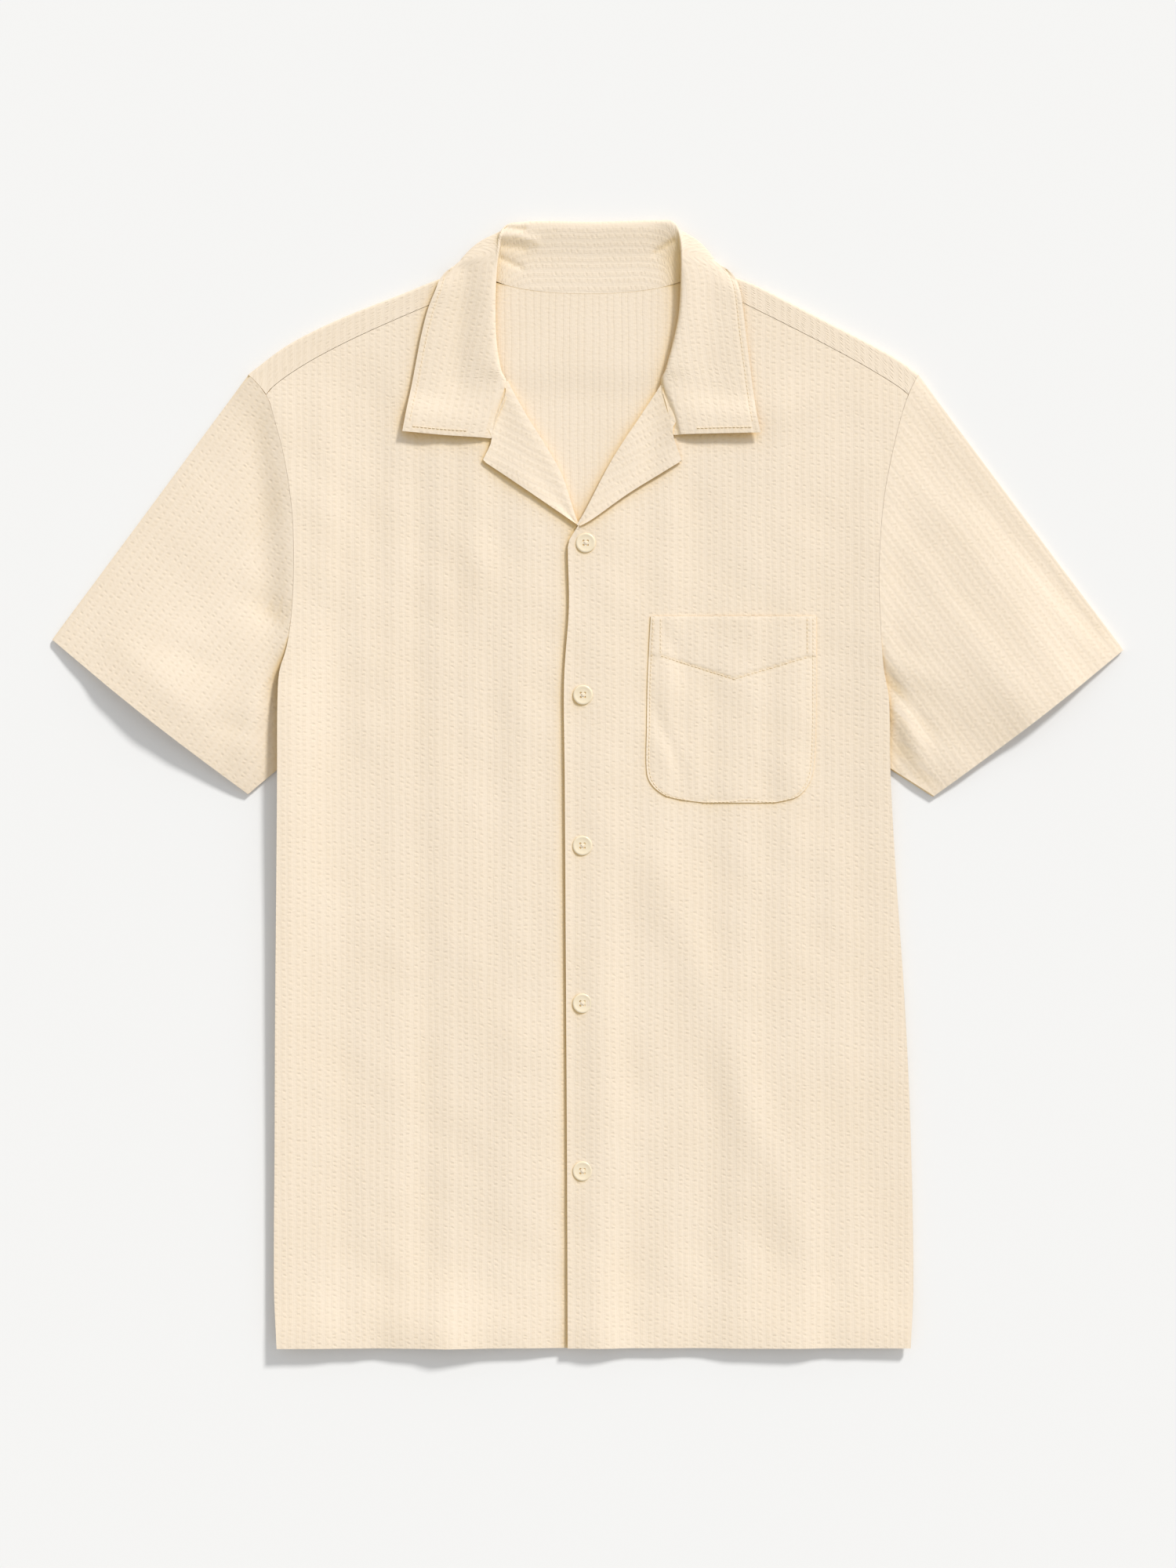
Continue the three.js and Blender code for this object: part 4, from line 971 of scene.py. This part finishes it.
def tube_points(path, radius, sides=7):
    """Closed round tube along a path, tapered at both ends."""
    path = np.asarray(path, float)
    way = np.gradient(path, axis=0)
    way /= np.maximum(np.linalg.norm(way, axis=1, keepdims=True), 1e-9)
    up = np.array([0.0, 0.0, 1.0])
    over = np.cross(way, up)
    weak = np.linalg.norm(over, axis=1) < 1e-3
    over[weak] = np.cross(way[weak], [1.0, 0.0, 0.0])
    over /= np.linalg.norm(over, axis=1, keepdims=True)
    rise = np.cross(over, way)
    points = [path[0]]
    count = len(path)
    for i in range(count):
        size = radius * (0.55 if i in (0, count - 1) else 1)
        for k in range(sides):
            a = TURN * k / sides
            points.append(path[i] + size * (math.cos(a) * over[i] + math.sin(a) * rise[i]))
    points.append(path[-1])
    end = len(points) - 1
    faces = []
    for k in range(sides):
        q = (k + 1) % sides
        faces.append([0, 1 + k, 1 + q])
        for i in range(count - 1):
            a, b = 1 + i * sides, 1 + (i + 1) * sides
            faces.append([a + k, b + k, b + q, a + q])
        faces.append([end, 1 + (count - 1) * sides + q, 1 + (count - 1) * sides + k])
    return points, faces


def join_tubes(name, tubes):
    points, faces = [], []
    for tube, tube_faces in tubes:
        start = len(points)
        points.extend(tube)
        faces.extend([[v + start for v in face] for face in tube_faces])
    return write_mesh(name, points, faces)


def make_button_thread(number, x, y, base):
    """Two crossed bundles of three strands each."""
    top = base + BUTTON_THICKNESS * BUTTON_WELL
    half = BUTTON_HOLE_SPREAD * math.cos(math.pi / 4)
    k = np.linspace(-1, 1, 9)
    dip = 1.1 * np.maximum(0, np.abs(k) - 0.62) / 0.38
    tubes = []
    for order, way in enumerate((1, -1)):
        for strand in (-0.3, 0, 0.3):
            aside = strand / math.sqrt(2)
            z = top + 0.12 + 0.16 * order - dip
            path = np.column_stack([x + half * k - way * aside, y + way * half * k + aside, z])
            tubes.append(tube_points(path, 0.2, 6))
    return join_tubes("button_" + str(number) + "_thread", tubes)


# Stitching

def along_path(points, spacing):
    points = np.asarray(points, float)
    run = run_length(points)
    count = max(2, int(run[-1] / spacing))
    at = np.linspace(0, run[-1], count + 1)
    return join(*(np.interp(at, run, points[:, i]) for i in range(3)))


def stitch_row(points, radius=0.19, height=0.1):
    """Short rounded stitches along a path on the cloth."""
    steps = 6
    fine = along_path(points, STITCH_PITCH / steps)
    used = int(round(STITCH_LENGTH / STITCH_PITCH * steps))
    bow = np.sin(np.linspace(0, math.pi, used + 1))
    tubes = []
    for index in range(0, len(fine) - used, steps):
        part = fine[index : index + used + 1].copy()
        part[:, 2] += height + 0.1 * bow - 0.16 * (1 - bow)
        tubes.append(tube_points(part[:: used // 3], radius, 5))
    return tubes


def on_cloth(outer, line):
    """Points of a plan line laid on the outer face of a piece."""
    line = np.asarray(line, float)
    flat = along_path(np.column_stack([line, np.zeros(len(line))]), 0.9)
    grid = outer.reshape(-1, 3)
    low, high = flat.min(axis=0) - 4, flat.max(axis=0) + 4
    near = grid[np.all((grid[:, :2] > low[:2]) & (grid[:, :2] < high[:2]), axis=1)]
    z = np.empty(len(flat))
    for i, point in enumerate(flat):
        away = (near[:, 0] - point[0]) ** 2 + (near[:, 1] - point[1]) ** 2
        closest = np.argpartition(away, 4)[:4]
        weight = 1 / (away[closest] + 0.05)
        z[i] = np.sum(near[closest, 2] * weight) / np.sum(weight)
    smooth = np.convolve(np.pad(z, 2, mode="edge"), np.ones(5) / 5, mode="valid")
    return np.column_stack([flat[:, 0], flat[:, 1], smooth])


def inside_edge(outer, inset, side):
    """The line that runs a given distance inside one edge of a grid: first or last, row or column."""
    grid = outer if side.endswith("column") else np.swapaxes(outer, 0, 1)
    if side.startswith("last"):
        grid = grid[:, ::-1]
    run = run_length(grid, axis=1)
    index = np.maximum(np.argmax(run >= inset, axis=1), 1)
    rows = np.arange(len(grid))
    before, after = run[rows, index - 1], run[rows, index]
    t = np.clip((inset - before) / np.maximum(after - before, 1e-6), 0, 1)[:, None]
    return grid[rows, index - 1] * (1 - t) + grid[rows, index] * t


# Materials

def srgb(r, g, b):
    def linear(c):
        c = c / 255
        return c / 12.92 if c <= 0.04045 else ((c + 0.055) / 1.055) ** 2.4

    return (linear(r), linear(g), linear(b), 1.0)


def new_material(name):
    """A material, a function that adds a node and gives its outputs, and one that sets its surface."""
    material = bpy.data.materials.new(name)
    material.use_nodes = True
    tree = material.node_tree

    def put(node, inputs):
        for key, value in inputs.items():
            if isinstance(value, bpy.types.NodeSocket):
                tree.links.new(value, node.inputs[key])
            else:
                node.inputs[key].default_value = value

    def add(kind, inputs, **settings):
        node = tree.nodes.new("ShaderNode" + kind)
        for key, value in settings.items():
            setattr(node, key, value)
        put(node, inputs)
        return node.outputs

    def shade(inputs):
        put(tree.nodes["Principled BSDF"], inputs)

    return material, add, shade


def mottled_material(name, low, high, noise, surface):
    """One colour that varies softly between two."""
    material, add, shade = new_material(name)
    place = add("TexCoord", {})["Object"]
    cloud = add("TexNoise", {"Vector": place, **noise})["Fac"]
    colour = add("Mix", {"Factor": cloud, 6: low, 7: high}, data_type="RGBA")[2]
    shade({"Base Color": colour, **surface})
    return material


def cloth_material(name, light, dark):
    """Seersucker: pairs of dimpled columns, smooth channels between the pairs, fine wales and crepe grain.

    The heights are in millimetres, from the place on the cloth. The colour holds painted shade in the
    dimples and a painted warm shadow on cloth shut off from the key light.
    """
    material, add, shade = new_material(name)

    def maths(operation, *values):
        return add("Math", dict(enumerate(values)), operation=operation)[0]

    def plus(a, b):
        return maths("ADD", a, b)

    def minus(a, b):
        return maths("SUBTRACT", a, b)

    def times(a, b):
        return maths("MULTIPLY", a, b)

    def hill(off, width, power):
        """1 in the middle, falling off beyond width."""
        return maths("EXPONENT", times(maths("POWER", maths("DIVIDE", off, width), power), -1.0))

    def within(value, low, high):
        return maths("MAXIMUM", maths("MINIMUM", value, high), low)

    cloth = add("Attribute", {}, attribute_name="cloth")["Vector"]
    sway = add("TexNoise", {"Vector": cloth, "Scale": 0.035, "Detail": 1.0}, noise_dimensions="2D")["Fac"]
    place = add("SeparateXYZ", {0: cloth})
    across = plus(place[0], times(minus(sway, 0.5), 1.6))
    along = place[1]

    # column number and the distance from its middle
    pair = maths("FLOOR", maths("DIVIDE", across, PAIR_PITCH))
    in_pair = minus(across, times(pair, PAIR_PITCH))
    second = maths("GREATER_THAN", in_pair, (FIRST_COLUMN + SECOND_COLUMN) / 2)
    off = minus(in_pair, maths("MULTIPLY_ADD", second, SECOND_COLUMN - FIRST_COLUMN, FIRST_COLUMN))
    column = maths("MULTIPLY_ADD", pair, 2.0, second)

    # dimples along the column, each shifted, turned and sized by chance
    column_luck = add("TexWhiteNoise", {"W": column}, noise_dimensions="1D")["Value"]
    run = plus(maths("DIVIDE", along, PUCKER_PITCH), times(column_luck, 9.0))
    row = maths("ROUND", run)
    address = add("CombineXYZ", {0: column, 1: row})[0]
    luck = add("TexWhiteNoise", {"Vector": address}, noise_dimensions="2D")["Color"]
    chance = add("SeparateColor", {0: luck})
    shift = times(minus(chance[0], 0.5), 2.4)
    off_along = minus(times(minus(run, row), PUCKER_PITCH), shift)
    turn = minus(chance[2], 0.5)
    aside = minus(off, times(turn, 0.8))
    off_along = plus(off_along, times(times(aside, turn), 0.6))
    wide = maths("POWER", maths("DIVIDE", aside, 1.2), 4.0)
    tall = maths("POWER", maths("DIVIDE", off_along, 0.8), 2.0)
    dimple = maths("EXPONENT", times(plus(wide, tall), -1.0))
    swell = hill(off, 1.45, 4.0)
    strength = maths("MULTIPLY_ADD", chance[1], DIMPLE_RANGE, DIMPLE_LEAST)

    # fine wales and grain
    wale = maths("SINE", times(across, TURN / WALE_PITCH))
    stretched = add("CombineXYZ", {0: times(across, 0.45), 1: times(along, 0.75)})[0]
    grain = add("TexNoise", {"Vector": stretched, "Scale": 0.8, "Detail": 3.0}, noise_dimensions="2D")["Fac"]

    # the wrong side, seen inside the neck, is smoother and its columns are hollow
    wrong_side = maths("GREATER_THAN", place[2], 1.5)
    turned = maths("MULTIPLY_ADD", wrong_side, -1.0 - WRONG_SIDE_DEPTH, 1.0)
    height = times(plus(times(dimple, times(strength, -1.0)), times(swell, COLUMN_SWELL)), turned)
    height = minus(height, times(times(hill(off, 0.55, 2.0), wrong_side), WRONG_SIDE_GROOVE))
    height = plus(height, times(wale, WALE_HEIGHT))
    height = plus(height, times(grain, GRAIN_HEIGHT))
    bumped = add("Bump", {"Strength": 1.0, "Distance": MM, "Height": height})["Normal"]

    # colour: slow unevenness and grain, painted shade in the dimples, and a slightly darker tone along the
    # middle of each column than in the channels
    slow = add("TexNoise", {"Vector": cloth, "Scale": 0.02, "Detail": 3.0}, noise_dimensions="2D")["Fac"]
    tone = minus(plus(times(grain, 0.5), times(slow, 0.5)), times(dimple, 0.3))
    tone = maths("MAXIMUM", minus(tone, times(swell, 0.12)), 0.0)
    plain = add("Mix", {"Factor": tone, 6: dark, 7: light}, data_type="RGBA")[2]

    # painted shadow: a warm tone painted on upper faces that are shut off from the key light, found by
    # occlusion sampled towards the key
    elevation, azimuth = math.radians(KEY_ELEVATION), math.radians(KEY_AZIMUTH)
    to_key = add("CombineXYZ", {
        0: math.sin(azimuth) * math.cos(elevation),
        1: -math.cos(azimuth) * math.cos(elevation),
        2: math.sin(elevation),
    })[0]
    key_openness = add("AmbientOcclusion", {"Distance": PAINTED_SHADOW_REACH, "Normal": to_key}, samples=5)["AO"]
    painted_shadow = within(times(minus(PAINTED_SHADOW_THRESHOLD, key_openness), PAINTED_SHADOW_GAIN), 0.0, 1.0)
    facing = add("SeparateXYZ", {0: add("NewGeometry", {})["True Normal"]})
    painted_shadow = times(painted_shadow, within(times(facing[2], 2.0), 0.0, 1.0))
    shadow_tint_inputs = {"Factor": painted_shadow, 6: plain, 7: PAINTED_SHADOW_TINT}
    shade({
        "Base Color": add("Mix", shadow_tint_inputs, data_type="RGBA", blend_type="MULTIPLY")[2],
        "Normal": bumped,
        "Roughness": 0.9,
        "Sheen Weight": 0.12,
        "Sheen Roughness": 0.5,
        "Specular IOR Level": 0.2,
    })
    return material


# Stage, light and camera

def make_stage():
    size = 3.0
    mesh = bpy.data.meshes.new("floor")
    corners = [(-size, -size, 0), (size, -size, 0), (size, size, 0), (-size, size, 0)]
    mesh.from_pydata(corners, [], [[0, 1, 2, 3]])
    floor = bpy.data.objects.new("floor", mesh)
    bpy.context.scene.collection.objects.link(floor)
    floor.location.z = -0.0004
    paper, _, shade = new_material("floor_paper")
    shade({"Base Color": srgb(243, 243, 242), "Roughness": 0.95, "Specular IOR Level": 0.1})
    mesh.materials.append(paper)


def make_light():
    world = bpy.data.worlds.new("studio")
    bpy.context.scene.world = world
    world.use_nodes = True
    background = world.node_tree.nodes["Background"]
    background.inputs["Color"].default_value = (1.0, 1.0, 1.0, 1.0)
    background.inputs["Strength"].default_value = FILL_STRENGTH
    sun = bpy.data.lights.new("key", "SUN")
    sun.energy = KEY_STRENGTH
    sun.angle = math.radians(KEY_SOFTNESS)
    sun.color = (1.0, 0.99, 0.975)
    lamp = bpy.data.objects.new("key", sun)
    bpy.context.scene.collection.objects.link(lamp)
    lamp.rotation_euler = (math.radians(90 - KEY_ELEVATION), 0, math.radians(KEY_AZIMUTH))


def make_camera():
    lens = bpy.data.cameras.new("camera")
    lens.lens = 85
    lens.sensor_width = 36
    lens.sensor_fit = "AUTO"
    lens.clip_end = 20
    camera = bpy.data.objects.new("camera", lens)
    bpy.context.scene.collection.objects.link(camera)
    camera.location = (0, 0, CAMERA_HEIGHT)
    bpy.context.scene.camera = camera
    bpy.context.scene.view_settings.view_transform = "Standard"


def dress(piece, material, slot, *nodes):
    piece.data.materials.clear()
    piece.data.materials.append(material)
    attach(piece, "root")
    if nodes:
        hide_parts(*nodes)


cream = cloth_material("seersucker", srgb(247, 232, 212), srgb(238, 221, 197))
thread = mottled_material(
    "thread", srgb(240, 223, 197), srgb(250, 238, 218),
    noise={"Scale": 2600.0},
    surface={"Roughness": 0.7, "Sheen Weight": 0.2},
)
ivory = mottled_material(
    "button_ivory", srgb(238, 221, 188), srgb(247, 233, 206),
    noise={"Scale": 140.0, "Distortion": 1.2},
    surface={"Roughness": 0.3, "Coat Weight": 0.15, "Coat Roughness": 0.15},
)

pieces = {}
outers = {}
for name, made in (
    ("back", make_back()),
    ("front_right", make_front("right")),
    ("front_left", make_front("left")),
    ("facing_right", make_facing("right")),
    ("facing_left", make_facing("left")),
    ("collar", make_collar()),
    ("sleeve_right", make_sleeve("right")),
    ("sleeve_left", make_sleeve("left")),
    ("pocket", make_pocket()),
):
    pieces[name], outers[name] = made
    dress(pieces[name], cream, "shirt_cloth", name)

for number, (bx, by) in enumerate(BUTTONS, 1):
    disc, base = make_button(number, bx, by)
    dress(disc, ivory, "button", "button_" + str(number))
    dress(make_button_thread(number, bx, by, base), thread, "shirt_cloth")

# Stitch rows
sewn = []
hem_y = HEM_Y + HEM_STITCH
for side, edge_x, middle_x in (("right", left_edge(HEM_Y) + 1, -17), ("left", right_edge(HEM_Y) - 1, -12)):
    cloth = outers["front_" + side]
    sewn += stitch_row(on_cloth(cloth, [(edge_x, hem_y), (middle_x, hem_y)]))
    sewn += stitch_row(on_cloth(cloth, armhole_line(side, ARMHOLE_STITCH)))
sewn += stitch_row(on_cloth(outers["front_left"], placket_line()))

collar = outers["collar"]
leaf_points = 84
right_leaf, left_leaf = collar[:leaf_points], collar[-leaf_points:]
sewn += stitch_row(inside_edge(right_leaf, EDGE_STITCH, "last column")[5:])
sewn += stitch_row(inside_edge(right_leaf, EDGE_STITCH, "first row")[46:-3], radius=0.25, height=0.2)
sewn += stitch_row(inside_edge(left_leaf, EDGE_STITCH, "last column")[:-5])
sewn += stitch_row(inside_edge(left_leaf, EDGE_STITCH, "last row")[46:-3], radius=0.25, height=0.2)
for side in ("right", "left"):
    sewn += stitch_row(inside_edge(outers["facing_" + side], EDGE_STITCH, "last column")[8:-5])

pocket = outers["pocket"]
for edge in ("first column", "last column", "last row"):
    sewn += stitch_row(inside_edge(pocket, POCKET_EDGE_STITCH, edge)[1:-1])
sewn += stitch_row(on_cloth(pocket, POCKET_POINT))
for x in POCKET_STRIPS:
    sewn += stitch_row(on_cloth(pocket, [(x, 114), (x, STRIP_FOOT_Y + 0.5)]))

for side in ("right", "left"):
    sewn += stitch_row(inside_edge(outers["sleeve_" + side], SLEEVE_HEM_STITCH, "first row")[1:-1])
dress(join_tubes("topstitching", sewn), thread, "shirt_cloth")

make_stage()
make_light()
make_camera()
